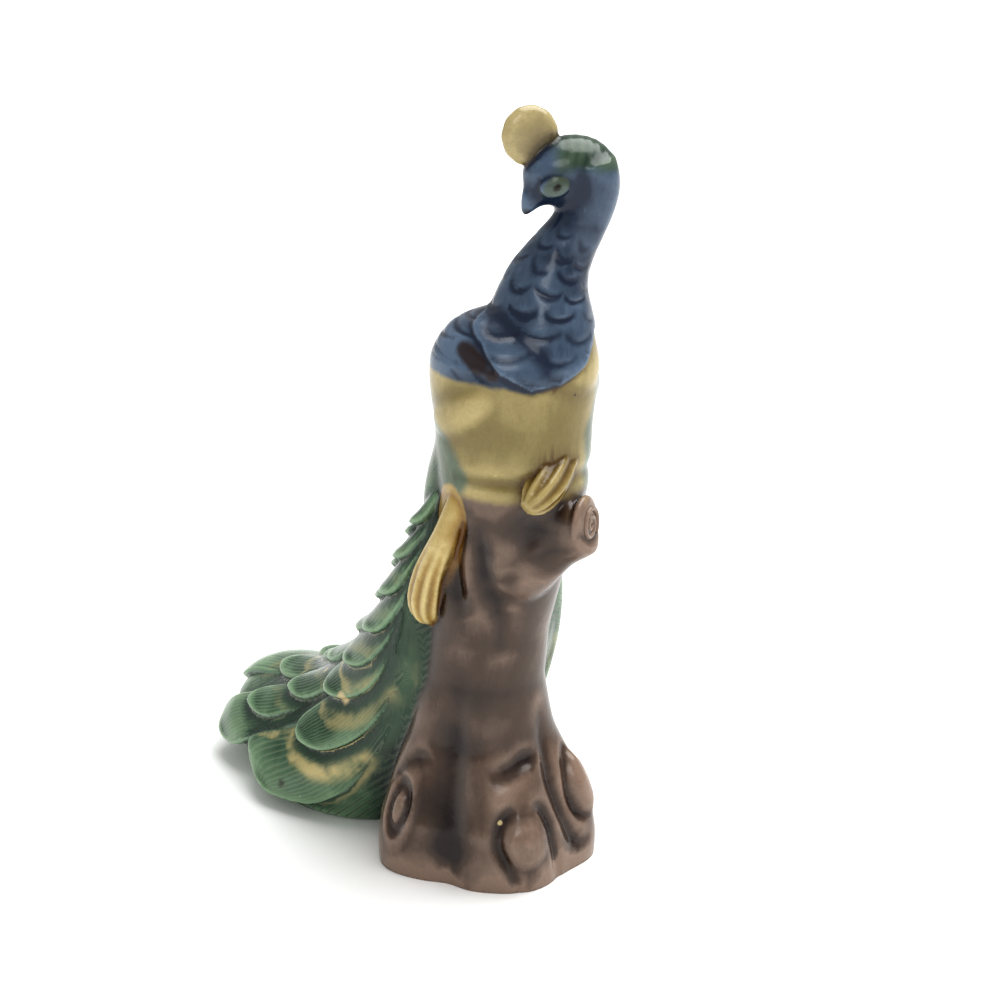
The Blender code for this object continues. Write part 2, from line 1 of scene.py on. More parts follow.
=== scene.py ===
"""Looks of the peacock figurine: cast earthenware under coloured lead glazes.

The figurine is one casting, so it is one finely carved skin here. The forms are the ones that the solid
has, fused at a finer grain, with the scales, barbs, rims and crackle that the mould and the glaze give. Lengths
are in metres, and the fields that the glazes follow are in millimetres.
"""

import math

import bmesh
import bpy
import numpy as np
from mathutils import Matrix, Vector
from mathutils.kdtree import KDTree


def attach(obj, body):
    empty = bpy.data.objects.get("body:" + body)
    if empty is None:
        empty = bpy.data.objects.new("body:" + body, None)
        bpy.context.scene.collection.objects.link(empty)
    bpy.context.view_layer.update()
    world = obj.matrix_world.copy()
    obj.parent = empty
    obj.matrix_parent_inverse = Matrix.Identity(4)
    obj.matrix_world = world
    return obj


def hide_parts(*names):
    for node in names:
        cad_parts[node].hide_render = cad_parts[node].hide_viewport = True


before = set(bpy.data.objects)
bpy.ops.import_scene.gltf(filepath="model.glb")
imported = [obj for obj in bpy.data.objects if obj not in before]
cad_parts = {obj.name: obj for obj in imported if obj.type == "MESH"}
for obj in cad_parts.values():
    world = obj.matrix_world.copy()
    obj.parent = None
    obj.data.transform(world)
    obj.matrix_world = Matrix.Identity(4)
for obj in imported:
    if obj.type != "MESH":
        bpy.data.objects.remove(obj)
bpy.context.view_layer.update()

# Stump
STUMP_HEIGHT = 0.0780
FOOT_RADIUS = 0.0212
WAIST_RADIUS = 0.0121
STUMP_LEAN = 0.0075
ROOT_LOBE = 0.0040
GROOVE_DEPTH = 0.0016
GROOVE_WIDTH = 0.0016
KNOT_RELIEF = 0.0010
STUB_LENGTH = 0.0180
STUB_RADIUS = 0.0050
SPIRAL_WIRE = 0.00050
# Bird
BODY_HEIGHT = 0.0400
BODY_RADIUS = 0.0146
SHOULDER_RADIUS = 0.0076
BELLY_CREASE = 0.0006
NECK_RISE = 0.0360
NECK_RADIUS = 0.0050
HEAD_LENGTH = 0.0170
CREST_RADIUS = 0.0053
CREST_THICKNESS = 0.0034
EYE_RADIUS = 0.0022
LEG_RADIUS = 0.0033
FOOT_LENGTH = 0.0135
TOE_RIDGE = 0.10
# Train
TRAIN_REACH = 0.0900
TRAIN_TOP = 0.0840
TRAIN_HALF_WIDTH = 0.0262
FEATHER_THICKNESS = 0.0013
FEATHER_LIFT = 0.0016
HEM_THICKNESS = 0.0032
TIP_ROUNDING = 0.95
# Skin of the casting
BODY_VOXEL = 0.00050
CARVING_VOXEL = 0.00036
MOST_TRIANGLES = 190000
# Carving too fine for the solid
SCALES_ROUND = 8
SCALE_ROW = 0.0036
SCALE_BOW = 0.0013
SCALE_STROKE = 0.00068
SCALE_RELIEF = 0.00028
COLLAR_STEP = 0.00050
RIM_BEAD = 0.00022
RIM_WIDTH = 0.00040
CROWN_STRIPE = 0.0019
BARB_SPACING = 1.2
MILLIMETRE = 0.001

NODE = "peacock_figurine"
UP = np.array([0.0, 0.0, 1.0])
BODY_AXIS = np.array([0.07, -0.57, 0.0]) * BODY_RADIUS
PERCH = STUMP_HEIGHT * UP


def row_at(rows, place):
    """Reads a table as a smooth curve through its rows, where place runs from 0 to 1."""
    rows = np.array(rows, float)
    padded = np.vstack([2 * rows[0] - rows[1], rows, 2 * rows[-1] - rows[-2]])
    at = np.atleast_1d(place) * (len(rows) - 1)
    first = np.clip(np.floor(at).astype(int), 0, len(rows) - 2)
    t = (at - first)[:, None]
    a, b, c, d = (padded[first + k] for k in range(4))
    return 0.5 * (2 * b + (c - a) * t + (2 * a - 5 * b + 4 * c - d) * t**2 + (3 * b - a - 3 * c + d) * t**3)


def unit(vector):
    return vector / np.linalg.norm(vector, axis=-1, keepdims=True)


def turn(count):
    """Angles evenly round a full turn, as a column."""
    return np.linspace(0, 2 * math.pi, count, endpoint=False)[:, None]


def add_skin(casting, rings):
    """Adds a closed skin over a stack of rings to the casting, with a flat cap at both ends."""
    loops = [[casting.verts.new(point) for point in ring] for ring in rings]
    faces = []
    for low, high in zip(loops, loops[1:]):
        for i in range(len(low)):
            j = (i + 1) % len(low)
            faces.append(casting.faces.new((low[i], low[j], high[j], high[i])))
    faces.append(casting.faces.new(loops[0][::-1]))
    faces.append(casting.faces.new(loops[-1]))
    bmesh.ops.recalc_face_normals(casting, faces=faces)


def tube(path, wide, high, side, ridges=0, ridge=0.0, count=28):
    """Rings across a path, each wide along the side direction and high across it, plain or ridged."""
    ahead = unit(np.gradient(path, axis=0))
    across = unit(side - (ahead @ side)[:, None] * ahead)
    over = np.cross(ahead, across)
    a = turn(count)
    rings = []
    for centre, w, h, x, z, depth in zip(path, wide, high, across, over, ridge + np.zeros(len(path))):
        swell = 1 + depth * np.cos(ridges * a)
        rings.append(centre + swell * (w * np.sin(a) * x + h * np.cos(a) * z))
    return rings


def ball(centre, long_axis, side, sizes, count=20):
    """Rings of an ellipsoid. sizes are its half lengths along long_axis, along side and across both."""
    along = unit(long_axis)
    across = unit(side - (side @ along) * along)
    over = np.cross(along, across)
    a = turn(count + 8)
    rings = []
    for tilt in np.linspace(-0.97, 0.97, count) * math.pi / 2:
        reach = math.cos(tilt)
        middle = centre + along * sizes[0] * math.sin(tilt)
        rings.append(middle + reach * (sizes[1] * np.sin(a) * across + sizes[2] * np.cos(a) * over))
    return rings


# Stump: rows of height, distance from the axis and lean, as shares of their dimensions.
STUMP_ROWS = (
    (-0.06, 0.98, 0.00),
    (0.00, 1.02, 0.00),
    (0.06, 1.03, 0.00),
    (0.14, 0.99, 0.00),
    (0.24, 0.85, 0.00),
    (0.36, 0.66, 0.02),
    (0.50, 0.57, 0.08),
    (0.64, 0.57, 0.25),
    (0.78, 0.60, 0.60),
    (0.90, 0.64, 0.90),
    (1.04, 0.62, 1.05),
)
# Roots: heading in degrees, swell and top, as shares.
ROOTS = (
    (166, 0.65, 0.34),
    (-154, -0.28, 0.30),
    (-100, 0.50, 0.20),
    (-48, 0.85, 0.22),
    (18, 0.60, 0.16),
    (100, 0.50, 0.15),
)
# Grooves in the bark: width, depth, then points as heading in degrees and height. All but headings are shares.
GROOVES = (
    (2.10, 1.10, ((-153, 0.62), (-155, 0.40), (-152, 0.24), (-150, 0.10), (-151, -0.10))),
    (0.75, 0.80, ((-107, 0.215), (-113, 0.205), (-118, 0.17), (-119, 0.13), (-114, 0.07), (-105, -0.03))),
    (0.75, 0.65, ((-98, 0.215), (-91, 0.205), (-87, 0.17), (-85, 0.12), (-83, 0.05), (-80, -0.03))),
    (1.00, 0.85, ((-68, 0.46), (-75, 0.28), (-74, 0.20), (-71, 0.13), (-65, 0.07), (-54, 0.06))),
    (0.75, 0.85, ((-49, 0.32), (-58, 0.27), (-63, 0.20), (-61, 0.145), (-53, 0.125))),
    (1.15, 0.65, ((-124, 0.285), (-107, 0.31), (-93, 0.325), (-84, 0.305))),
    (1.20, 0.55, ((-172, 0.33), (-188, 0.29), (-194, 0.22))),
    (1.90, 1.10, ((-130, 1.03), (-111, 0.99), (-100, 0.92), (-93, 0.83))),
    (1.30, 0.95, ((-152, 1.00), (-150, 0.92), (-143, 0.84), (-131, 0.77), (-121, 0.71), (-113, 0.60))),
    (1.40, 1.00, ((-168, 1.02), (-172, 0.94), (-172, 0.86), (-166, 0.78), (-153, 0.71))),
    (1.40, 0.45, ((-126, 0.86), (-114, 0.74))),
    (1.30, 0.70, ((60, -0.05), (64, 0.25), (66, 0.52))),
    (1.30, 0.70, ((-22, -0.02), (-14, 0.30), (-18, 0.72))),
    (1.20, 0.60, ((28, 0.42), (34, 0.70), (36, 1.00))),
)
# Knots: heading in degrees, height, half width and half height as shares of the foot's radius, and profile.
BUTTON = ((0.0, 0.35), (0.65, 0.25), (1.05, -0.60), (1.40, -0.55), (1.95, 0.40), (2.8, 0.0))
SWELLING = ((0.0, 1.0), (0.6, 0.75), (1.0, 0.1), (1.3, 0.0))
KNOTS = (
    (175, 0.18, 0.075, 0.170, BUTTON, 1.0),
    (-103, 0.13, 0.240, 0.260, SWELLING, 1.1),
    (-52, 0.215, 0.180, 0.340, SWELLING, 1.9),
    (60, 0.20, 0.110, 0.180, BUTTON, 0.9),
)


def stump_axis(height):
    """Where the stump's axis is at a height, given as a share of the stump's."""
    lean = np.interp(height, [row[0] for row in STUMP_ROWS], [row[2] for row in STUMP_ROWS])
    lean = np.stack([0.05 * lean, -lean, 0 * lean], -1) * STUMP_LEAN
    return lean + np.multiply.outer(height * STUMP_HEIGHT, UP)


def stump_radius(height, angle):
    """Distance of the bark from the stump's axis, with the roots' swell at the foot."""
    flare = np.interp(height, [row[0] for row in STUMP_ROWS], [row[1] for row in STUMP_ROWS])
    waist = WAIST_RADIUS / FOOT_RADIUS / 0.57
    taper = np.clip((height - 0.10) / 0.30, 0, 1)
    radius = FOOT_RADIUS * flare * (1 + (waist - 1) * taper)
    radius = radius - 0.42 * ROOT_LOBE * math.exp(-((height / 0.3) ** 4))
    for heading, share, top in ROOTS:
        away = (angle - math.radians(heading) + math.pi) % (2 * math.pi) - math.pi
        swell = np.exp(-((away / 0.34) ** 2)) * math.exp(-((height / (top + 0.10)) ** 4))
        radius = radius + ROOT_LOBE * share * swell
    return radius


def stump_rings():
    a = turn(72)
    rings = []
    for height in np.linspace(STUMP_ROWS[0][0], STUMP_ROWS[-1][0], 44):
        out = stump_radius(height, a) * np.hstack([np.cos(a), np.sin(a), 0 * a])
        rings.append(stump_axis(height) + out)
    return rings


def on_bark(heading, height, out=0.0):
    """A point this far out from the bark, at a heading in degrees and a share of the stump's height."""
    angle = np.array([math.radians(heading)])
    away = np.array([math.cos(angle[0]), math.sin(angle[0]), 0.0])
    return stump_axis(height) + away * (float(stump_radius(height, angle)[0]) + out)


def bark_relief(points):
    """How far the bark stands out at each point, from the grooves and knots."""
    height = points[:, 2] / STUMP_HEIGHT
    from_axis = (points - stump_axis(height))[:, :2]
    reach = np.linalg.norm(from_axis, axis=1)
    angle = np.arctan2(from_axis[:, 1], from_axis[:, 0])
    relief = np.zeros(len(points))
    for width, depth, line in GROOVES:
        bends = row_at(line, np.linspace(0, 1, 3 * len(line)))
        best = np.full(len(points), np.inf)
        place = np.zeros(len(points))
        for number, ((a0, h0), (a1, h1)) in enumerate(zip(bends, bends[1:])):
            start = (angle - math.radians(a0) + math.pi) % (2 * math.pi) - math.pi
            x, y = start * reach, points[:, 2] - h0 * STUMP_HEIGHT
            dx, dy = math.radians(a1 - a0) * reach, (h1 - h0) * STUMP_HEIGHT
            along = np.clip((x * dx + y * dy) / (dx * dx + dy * dy), 0, 1)
            away = np.hypot(x - along * dx, y - along * dy)
            place = np.where(away < best, (number + along) / (len(bends) - 1), place)
            best = np.minimum(best, away)
        fade = np.clip(np.minimum(place, 1 - place) / 0.25, 0, 1)
        relief -= GROOVE_DEPTH * depth * fade * np.exp(-((best / (GROOVE_WIDTH * width)) ** 2))
    for heading, middle, wide, tall, profile, share in KNOTS:
        away = (angle - math.radians(heading) + math.pi) % (2 * math.pi) - math.pi
        x = away * reach / (wide * FOOT_RADIUS)
        y = (points[:, 2] - middle * STUMP_HEIGHT) / (tall * FOOT_RADIUS)
        at, rise = zip(*profile)
        relief += KNOT_RELIEF * share * np.interp(np.hypot(x, y), at, rise)
    near = (reach < 1.6 * FOOT_RADIUS) * (points[:, 1] < 0.6 * FOOT_RADIUS)
    return relief * near * np.clip((1.04 - height) / 0.08, 0, 1)


# Broken branch under the left foot
STUB_FACING = unit(np.array([0.42, -0.905, 0.0]))
STUB_SIDE = np.cross(UP, STUB_FACING)


def stub_end():
    return PERCH * 0.972 + BODY_AXIS + np.array([0.28, -1.15, 0.0]) * BODY_RADIUS


def stub_rings():
    """The stub swells under its end and runs down into the trunk like a bracket."""
    end = stub_end()
    shares = np.linspace(0, 1, 14)[:, None]
    drop = UP * STUB_RADIUS * row_at(((1.9,), (1.3,), (0.55,), (0.0,)), shares[:, 0])
    path = end - STUB_FACING * STUB_LENGTH * (1 - shares) - drop
    sizes = ((1.9,), (1.8,), (1.6,), (1.35,), (1.2,), (1.12,), (1.02,))
    radius = row_at(sizes, shares[:, 0])[:, 0] * STUB_RADIUS
    return tube(path, radius * 0.95, radius * 1.12, np.cross(STUB_FACING, UP))


def stub_face_rings():
    """The sawn end of the stub, flat enough for the spiral."""
    centre = stub_end() - 0.10 * STUB_RADIUS * STUB_FACING
    return ball(centre, STUB_FACING, UP, np.array([0.32, 1.10, 0.98]) * STUB_RADIUS)


# Body: rows of height, half width, reach to the front and reach to the back, as shares.
BODY_ROWS = (
    (-0.30, 0.66, 0.70, 0.62),
    (-0.12, 0.84, 0.88, 0.80),
    (0.05, 0.96, 1.00, 0.92),
    (0.22, 1.00, 1.04, 0.98),
    (0.38, 1.02, 1.05, 1.00),
    (0.50, 1.08, 1.06, 1.00),
    (0.62, 1.12, 1.06, 0.98),
    (0.74, 1.09, 0.98, 0.90),
    (0.86, 0.84, 0.70, 0.66),
    (0.92, 0.42, 0.30, 0.30),
)
# Wing: rows of place out from the body's axis, back and up from the perch, and thickness, in body radii.
WING_ROWS = (
    (0.50, -0.30, 1.44, 0.16),
    (0.60, -0.22, 1.42, 0.40),
    (0.64, -0.04, 1.36, 0.48),
    (0.60, 0.16, 1.34, 0.46),
    (0.56, 0.34, 1.02, 0.42),
    (0.54, 0.52, 0.62, 0.38),
    (0.54, 0.74, 0.20, 0.34),
    (0.54, 0.90, -0.22, 0.28),
    (0.52, 0.98, -0.48, 0.14),
)


def body_rings():
    a = turn(48)
    rings = []
    for height, wide, front, back in row_at(BODY_ROWS, np.linspace(0, 1, 34)):
        depth = np.where(np.cos(a) > 0, front, back)
        out = BODY_RADIUS * np.hstack([wide * np.sin(a), -depth * np.cos(a), 0 * a])
        rings.append(BODY_AXIS + PERCH + UP * height * BODY_HEIGHT + out)
    return rings


def shoulder_rings(hand):
    centre = BODY_AXIS + PERCH + np.array([0.66 * hand, -0.12, 1.36]) * BODY_RADIUS
    axis = np.array([0.10 * hand, 0.80, -0.60])
    return ball(centre, axis, np.array([hand, 0, 0.2]), np.array([1.40, 0.92, 0.90]) * SHOULDER_RADIUS)


def wing_rings(hand):
    rows = row_at(WING_ROWS, np.linspace(0, 1, 26))
    path = rows[:, :3] * BODY_RADIUS * np.array([hand, 1, 1]) + PERCH + BODY_AXIS
    size = rows[:, 3] * BODY_RADIUS
    return tube(path, size * 0.75, size * 1.15, np.array([0.7 * hand, 0.7, 0.0]))


def belly_relief(points):
    """A crease across the belly, just above the perch."""
    level = (points[:, 2] - STUMP_HEIGHT) / BODY_HEIGHT
    front = np.clip((BODY_AXIS[1] - points[:, 1]) / (0.6 * BODY_RADIUS), 0, 1)
    return -BELLY_CREASE * front * np.exp(-(((level - 0.165) / 0.035) ** 2))


# Neck: rows of place to the left, back and up from the shoulders, in shares of its rise, and thickness.
NECK_ROWS = (
    (0.075, -0.345, -0.045, 2.18),
    (0.080, -0.365, 0.03, 2.30),
    (0.085, -0.375, 0.16, 2.06),
    (0.095, -0.385, 0.31, 1.76),
    (0.115, -0.400, 0.44, 1.50),
    (0.165, -0.435, 0.57, 1.20),
    (0.225, -0.488, 0.70, 1.00),
    (0.265, -0.520, 0.82, 1.00),
    (0.280, -0.532, 0.93, 1.05),
    (0.255, -0.520, 1.03, 1.06),
)


def neck_place(rows):
    """Points of the neck's own table, where the figurine stands."""
    return rows[:, :3] * NECK_RISE + PERCH + UP * 0.65 * BODY_HEIGHT


def neck_rings():
    rows = row_at(NECK_ROWS, np.linspace(0, 1, 40))
    size = rows[:, 3] * NECK_RADIUS
    return tube(neck_place(rows), size * 1.02, size, np.array([0.79, -0.62, 0.0]))


# Head: it looks over the right wing. Places on it are ahead, up and out to the left cheek, in head lengths.
LOOKING = unit(np.array([-0.947, 0.32, 0.0]))
CHEEK = np.cross(LOOKING, UP)
# Beak: rows of ahead, up and thickness.
BEAK_ROWS = (
    (0.24, -0.08, 0.245),
    (0.36, -0.20, 0.190),
    (0.435, -0.285, 0.128),
    (0.49, -0.38, 0.080),
    (0.535, -0.465, 0.024),
)


def head_place(ahead, up, out=0.0):
    centre = neck_place(np.array([[0.200, -0.468, 0.990, 0]]))[0]
    return centre + HEAD_LENGTH * (ahead * LOOKING + up * UP - out * CHEEK)


def skull_rings():
    aim = unit(LOOKING - 0.12 * UP)
    return ball(head_place(0.02, 0.0), aim, CHEEK, np.array([0.51, 0.335, 0.375]) * HEAD_LENGTH)


def beak_rings():
    rows = row_at(BEAK_ROWS, np.linspace(0, 1, 20))
    path = np.array([head_place(ahead, up) for ahead, up, _ in rows])
    return tube(path, rows[:, 2] * HEAD_LENGTH * 0.85, rows[:, 2] * HEAD_LENGTH, CHEEK, count=20)


def eye_rings(hand):
    """A soft almond of clay, with the ball of the eye standing in it."""
    facing = unit(-hand * CHEEK + 0.25 * LOOKING)
    centre = head_place(0.27, -0.13, hand * 0.255)
    lid = ball(centre, facing, unit(LOOKING - 0.2 * UP), np.array([0.45, 1.25, 0.85]) * EYE_RADIUS, 12)
    pupil = ball(centre, facing, LOOKING, np.array([0.66, 0.42, 0.42]) * EYE_RADIUS, 10)
    return [lid, pupil]


CREST_SCALLOPS = 11
# Crest: rows of distance from its middle and of distance through it, over its half thickness.
CREST_ROWS = (
    (0.02, -1.00),
    (0.45, -0.96),
    (0.82, -0.72),
    (1.00, 0.00),
    (0.82, 0.72),
    (0.45, 0.96),
    (0.02, 1.00),
)


def crest_rings():
    """A fan of short feathers set on the forehead: a thick disc with a scalloped rim."""
    centre = head_place(0.455, 0.375)
    a = turn(132)
    fan = 1 + 0.010 * np.cos(CREST_SCALLOPS * a)
    rows = row_at(CREST_ROWS, np.linspace(0, 1, 26))
    around = np.cos(a) * LOOKING + np.sin(a) * UP
    half = 0.5 * CREST_THICKNESS
    return [centre + CREST_RADIUS * reach * fan * around + half * out * CHEEK for reach, out in rows]


# Right leg: rows of heading in degrees, height on the stump, distance out of the bark and thickness.
LEG_ROWS = (
    (184, 1.16, -1.60, 0.70),
    (182, 1.04, -0.80, 0.85),
    (176, 0.93, -0.05, 0.82),
    (168, 0.83, 0.45, 0.95),
    (164, 0.75, 0.56, 1.06),
    (164, 0.70, 0.40, 0.85),
    (165, 0.665, 0.00, 0.15),
)


def leg_rings():
    """The right leg hangs down the stump's side, and its toes end in a drop shape."""
    rows = row_at(LEG_ROWS, np.linspace(0, 1, 24))
    path = np.array([on_bark(heading, height, out * LEG_RADIUS) for heading, height, out, _ in rows])
    size = rows[:, 3] * LEG_RADIUS
    ridge = TOE_RIDGE * np.clip((0.93 - rows[:, 1]) / 0.12, 0, 1)
    return tube(path, size, size * 0.95, np.array([0.26, 0.97, 0.0]), 9, ridge, 54)


# Left foot: rows of place from the stub's end, across it and up, in foot lengths, and thickness.
FOOT_ROWS = (
    (0.84, 0.10, 0.06, 0.10),
    (0.70, 0.04, 0.14, 0.21),
    (0.44, 0.00, 0.28, 0.260),
    (0.14, 0.00, 0.46, 0.260),
    (-0.10, 0.03, 0.61, 0.235),
    (-0.18, 0.08, 0.67, 0.15),
)


def foot_rings():
    """The left foot lies slanting over the top of the stub."""
    rows = row_at(FOOT_ROWS, np.linspace(0, 1, 20))
    base = stub_end() + (0.33 * UP - 0.41 * STUB_FACING - 0.01 * STUB_SIDE) * FOOT_LENGTH
    steps = rows[:, :1] * -STUB_SIDE - rows[:, 1:2] * STUB_FACING + rows[:, 2:3] * UP
    size = rows[:, 3] * FOOT_LENGTH
    return tube(base + steps * FOOT_LENGTH, size, size, STUB_FACING, 8, TOE_RIDGE, 48)


# Train: rows of the ridge's reach and height, the edge's half width, reach and height, and depth behind it.
TRAIN_ROWS = (
    (0.056, 0.940, 0.420, -0.067, 1.000, 0.08),
    (0.117, 0.821, 0.520, -0.055, 0.857, 0.06),
    (0.183, 0.708, 0.630, -0.042, 0.738, 0.06),
    (0.261, 0.590, 0.700, -0.022, 0.619, 0.08),
    (0.350, 0.484, 0.742, 0.022, 0.500, 0.12),
    (0.456, 0.375, 0.770, 0.100, 0.376, 0.17),
    (0.595, 0.275, 0.820, 0.211, 0.255, 0.20),
    (0.755, 0.212, 0.900, 0.340, 0.143, 0.24),
    (0.910, 0.160, 0.950, 0.455, 0.062, 0.27),
    (0.985, 0.078, 0.960, 0.500, 0.012, 0.27),
)
# On the right it is narrower and its edge lies further back, so that the stump shows beside it: rows of the
# share of the half width that is kept and the edge's extra reach.
RIGHT_EDGE_ROWS = (
    (0.94, 0.03),
    (0.91, 0.06),
    (0.86, 0.09),
    (0.81, 0.11),
    (0.79, 0.11),
    (0.81, 0.09),
    (0.88, 0.05),
    (0.96, 0.02),
    (1.00, 0.00),
    (1.00, 0.00),
)


def train_point(place, swing):
    """A point of the train's outer surface. place runs from 0 at the rump to 1 at the hem, and swing is -1
    at the right edge, 0 on the ridge and 1 at the left edge. Beyond 1 it turns in behind the edge.
    """
    rows = row_at(TRAIN_ROWS, place)
    zero = np.zeros(len(rows))
    angle = np.atleast_1d(swing) * math.pi / 2
    rightness = np.clip(-np.sin(angle), 0, 1)
    kept, extra = row_at(RIGHT_EDGE_ROWS, place).T
    ridge = np.stack([zero, rows[:, 0] * TRAIN_REACH, rows[:, 1] * TRAIN_TOP], 1)
    edge = (rows[:, 3] + extra * rightness) * TRAIN_REACH
    middle = np.stack([zero, edge, rows[:, 4] * TRAIN_TOP], 1)
    back = ridge - middle
    behind = unit(back) * rows[:, 5:] * TRAIN_REACH
    lean = np.cos(angle)[:, None]
    point = middle + np.where(lean > 0, back, behind) * lean
    point[:, 0] += rows[:, 2] * TRAIN_HALF_WIDTH * np.sin(angle) * (1 + (kept - 1) * rightness)
    return point


def train_rings():
    """The train's own volume, closed under its hem and drawn in towards the ground."""
    swing = np.linspace(-2, 2, 64, endpoint=False)
    rings = [train_point(np.full(64, place), swing) for place in np.linspace(0, 0.92, 38)]
    hem = rings[-1]
    for inward, down in ((0.93, 0.015), (0.84, 0.060), (0.80, 0.140)):
        rings.append(hem.mean(axis=0) + (hem - hem.mean(axis=0)) * inward - UP * down * TRAIN_TOP)
    return rings


# Feathers: place of the tip, swing of the tip and of the root, half width over the train's, and length.
FEATHERS = (
    (0.990, 0.00, 0.00, 0.330, 0.40),
    (0.985, 0.61, 0.54, 0.330, 0.40),
    (0.925, 1.00, 1.12, 0.400, 0.34),
    (0.780, 0.17, 0.13, 0.220, 0.28),
    (0.830, 0.54, 0.46, 0.230, 0.28),
    (0.735, 0.90, 1.06, 0.380, 0.30),
    (0.690, 0.00, 0.00, 0.200, 0.26),
    (0.710, 0.48, 0.42, 0.220, 0.26),
    (0.605, 0.72, 0.90, 0.290, 0.27),
    (0.600, 0.25, 0.20, 0.200, 0.25),
    (0.510, 0.66, 0.84, 0.240, 0.25),
    (0.500, 0.00, 0.00, 0.180, 0.24),
    (0.450, 0.36, 0.32, 0.190, 0.24),
    (0.400, 0.70, 0.88, 0.190, 0.24),
    (0.370, 0.14, 0.12, 0.150, 0.22),
    (0.325, 0.46, 0.42, 0.150, 0.22),
    (0.290, 0.74, 0.92, 0.150, 0.21),
    (0.265, 0.00, 0.00, 0.140, 0.20),
    (0.240, 0.40, 0.38, 0.140, 0.20),
    (0.200, 0.70, 0.86, 0.135, 0.18),
    (0.165, 0.20, 0.20, 0.125, 0.16),
    (0.145, 0.52, 0.50, 0.125, 0.16),
    (0.110, 0.76, 0.88, 0.120, 0.14),
)
HEM_FEATHERS = 3


def feather_surface(tip, swing, root_swing, half_width, length, under, grain):
    """Upper and lower side of a tongue-shaped feather laid along the train, and how far across it each point
    lies.
    """
    towards_tip = 0.5 + 0.5 * np.sin(np.linspace(0, 1, 26 * grain) * math.pi / 2)
    shares = np.concatenate([np.linspace(0, 0.5, 12 * grain, endpoint=False), towards_tip])
    count = 24 * grain + 1
    spread = np.sin(np.linspace(-math.pi / 2, math.pi / 2, count))
    blunt = min(0.38, TIP_ROUNDING * half_width / (length * TRAIN_REACH))
    tops, lows, places = [], [], []
    for share in shares:
        tip_part = max(0.0, share - 1 + blunt) / blunt
        outline = (0.60 + 0.40 * min(1, share / 0.6)) * math.sqrt(max(0.0, 1 - tip_part**2.2)) + 0.02
        place = tip - length * (1 - share)
        mid_swing = swing + (root_swing - swing) * (1 - share) ** 1.3
        step = 0.01
        around = train_point(np.full(2, place), mid_swing + np.array([-step, step]))
        metric = np.linalg.norm(around[1] - around[0]) / (2 * step)
        swings = mid_swing + spread * outline * half_width / metric
        level = np.full(count, place)
        here = train_point(level, swings)
        ahead = train_point(level + step, swings) - train_point(level - step, swings)
        across = train_point(level, swings + step) - train_point(level, swings - step)
        out = unit(np.cross(across, ahead))
        round_off = np.sqrt(np.clip(1 - spread**2, 0, 1))[:, None] ** 0.7
        lift = FEATHER_LIFT * share**2 - FEATHER_THICKNESS * (1 - share)
        from_side = (1 - abs(spread)) * outline * half_width
        from_tip = (1 - share) * 1.6 * half_width + 0 * spread
        edge = np.minimum(from_side, from_tip)[:, None]
        bead = RIM_BEAD * np.exp(-(((edge - RIM_WIDTH) / RIM_WIDTH) ** 2)) * min(1, 2 * share)
        tops.append(here + out * (lift + FEATHER_THICKNESS * round_off * (0.7 + 0.3 * share) + bead))
        lows.append(here + out * (lift - under * round_off))
        places.append(spread * half_width / MILLIMETRE)
    return np.array(tops), np.array(lows), np.array(places)


def feathers(grain=1):
    """Every feather of the train, as its upper side, its lower side and the places across it."""
    found = []
    for number, (tip, swing, root_swing, share, length) in enumerate(FEATHERS):
        under = HEM_THICKNESS if number < HEM_FEATHERS else 0.9 * FEATHER_THICKNESS
        for hand in (-1, 1) if swing else (1,):
            wide = share * TRAIN_HALF_WIDTH
            found.append(feather_surface(tip, hand * swing, hand * root_swing, wide, length, under, grain))
    return found


def feather_skins():
    return [np.concatenate([tops, lows[:, -2:0:-1]], axis=1) for tops, lows, _ in feathers()]


# Casting
def large_forms():
    """The forms that run softly into each other."""
    forms = [stump_rings(), stub_rings(), body_rings(), neck_rings(), skull_rings(), beak_rings()]
    forms.append(train_rings())
    for hand in (-1, 1):
        forms += [shoulder_rings(hand), wing_rings(hand)]
    return forms


def small_forms():
    """What stands on them with sharper edges."""
    forms = [crest_rings(), leg_rings(), foot_rings(), stub_face_rings()]
    return forms + eye_rings(-1) + eye_rings(1) + feather_skins()


def mesh_of(skins, name, base=None):
    casting = bmesh.new()
    if base:
        casting.from_mesh(base)
    for rings in skins:
        add_skin(casting, rings)
    mesh = bpy.data.meshes.new(name)
    casting.to_mesh(mesh)
    casting.free()
    return mesh


def changed(mesh, *modifiers):
    """A new mesh: this one after the modifiers, each given as its kind and its settings."""
    helper = bpy.data.objects.new("helper", mesh)
    bpy.context.scene.collection.objects.link(helper)
    for kind, settings in modifiers:
        modifier = helper.modifiers.new(kind.lower(), kind)
        for name, value in settings.items():
            setattr(modifier, name, value)
    bpy.context.view_layer.update()
    result = bpy.data.meshes.new_from_object(helper.evaluated_get(bpy.context.evaluated_depsgraph_get()))
    bpy.data.objects.remove(helper)
    return result


def one_skin(mesh, voxel, rounds):
    """One skin over all the forms of a mesh, softened as glaze softens them."""
    skin = ("REMESH", {"mode": "VOXEL", "voxel_size": voxel})
    return changed(mesh, skin, ("SMOOTH", {"factor": 0.5, "iterations": rounds}))


def points_of(mesh):
    points = np.empty(3 * len(mesh.vertices))
    mesh.vertices.foreach_get("co", points)
    return points.reshape(-1, 3)


def normals_of(mesh):
    normals = np.empty(3 * len(mesh.vertices))
    mesh.vertex_normals.foreach_get("vector", normals)
    return normals.reshape(-1, 3)


def raise_by(mesh, relief):
    """Moves each point of a mesh out along its normal."""
    points = points_of(mesh) + normals_of(mesh) * relief[:, None]
    mesh.vertices.foreach_set("co", points.ravel())
    mesh.update()


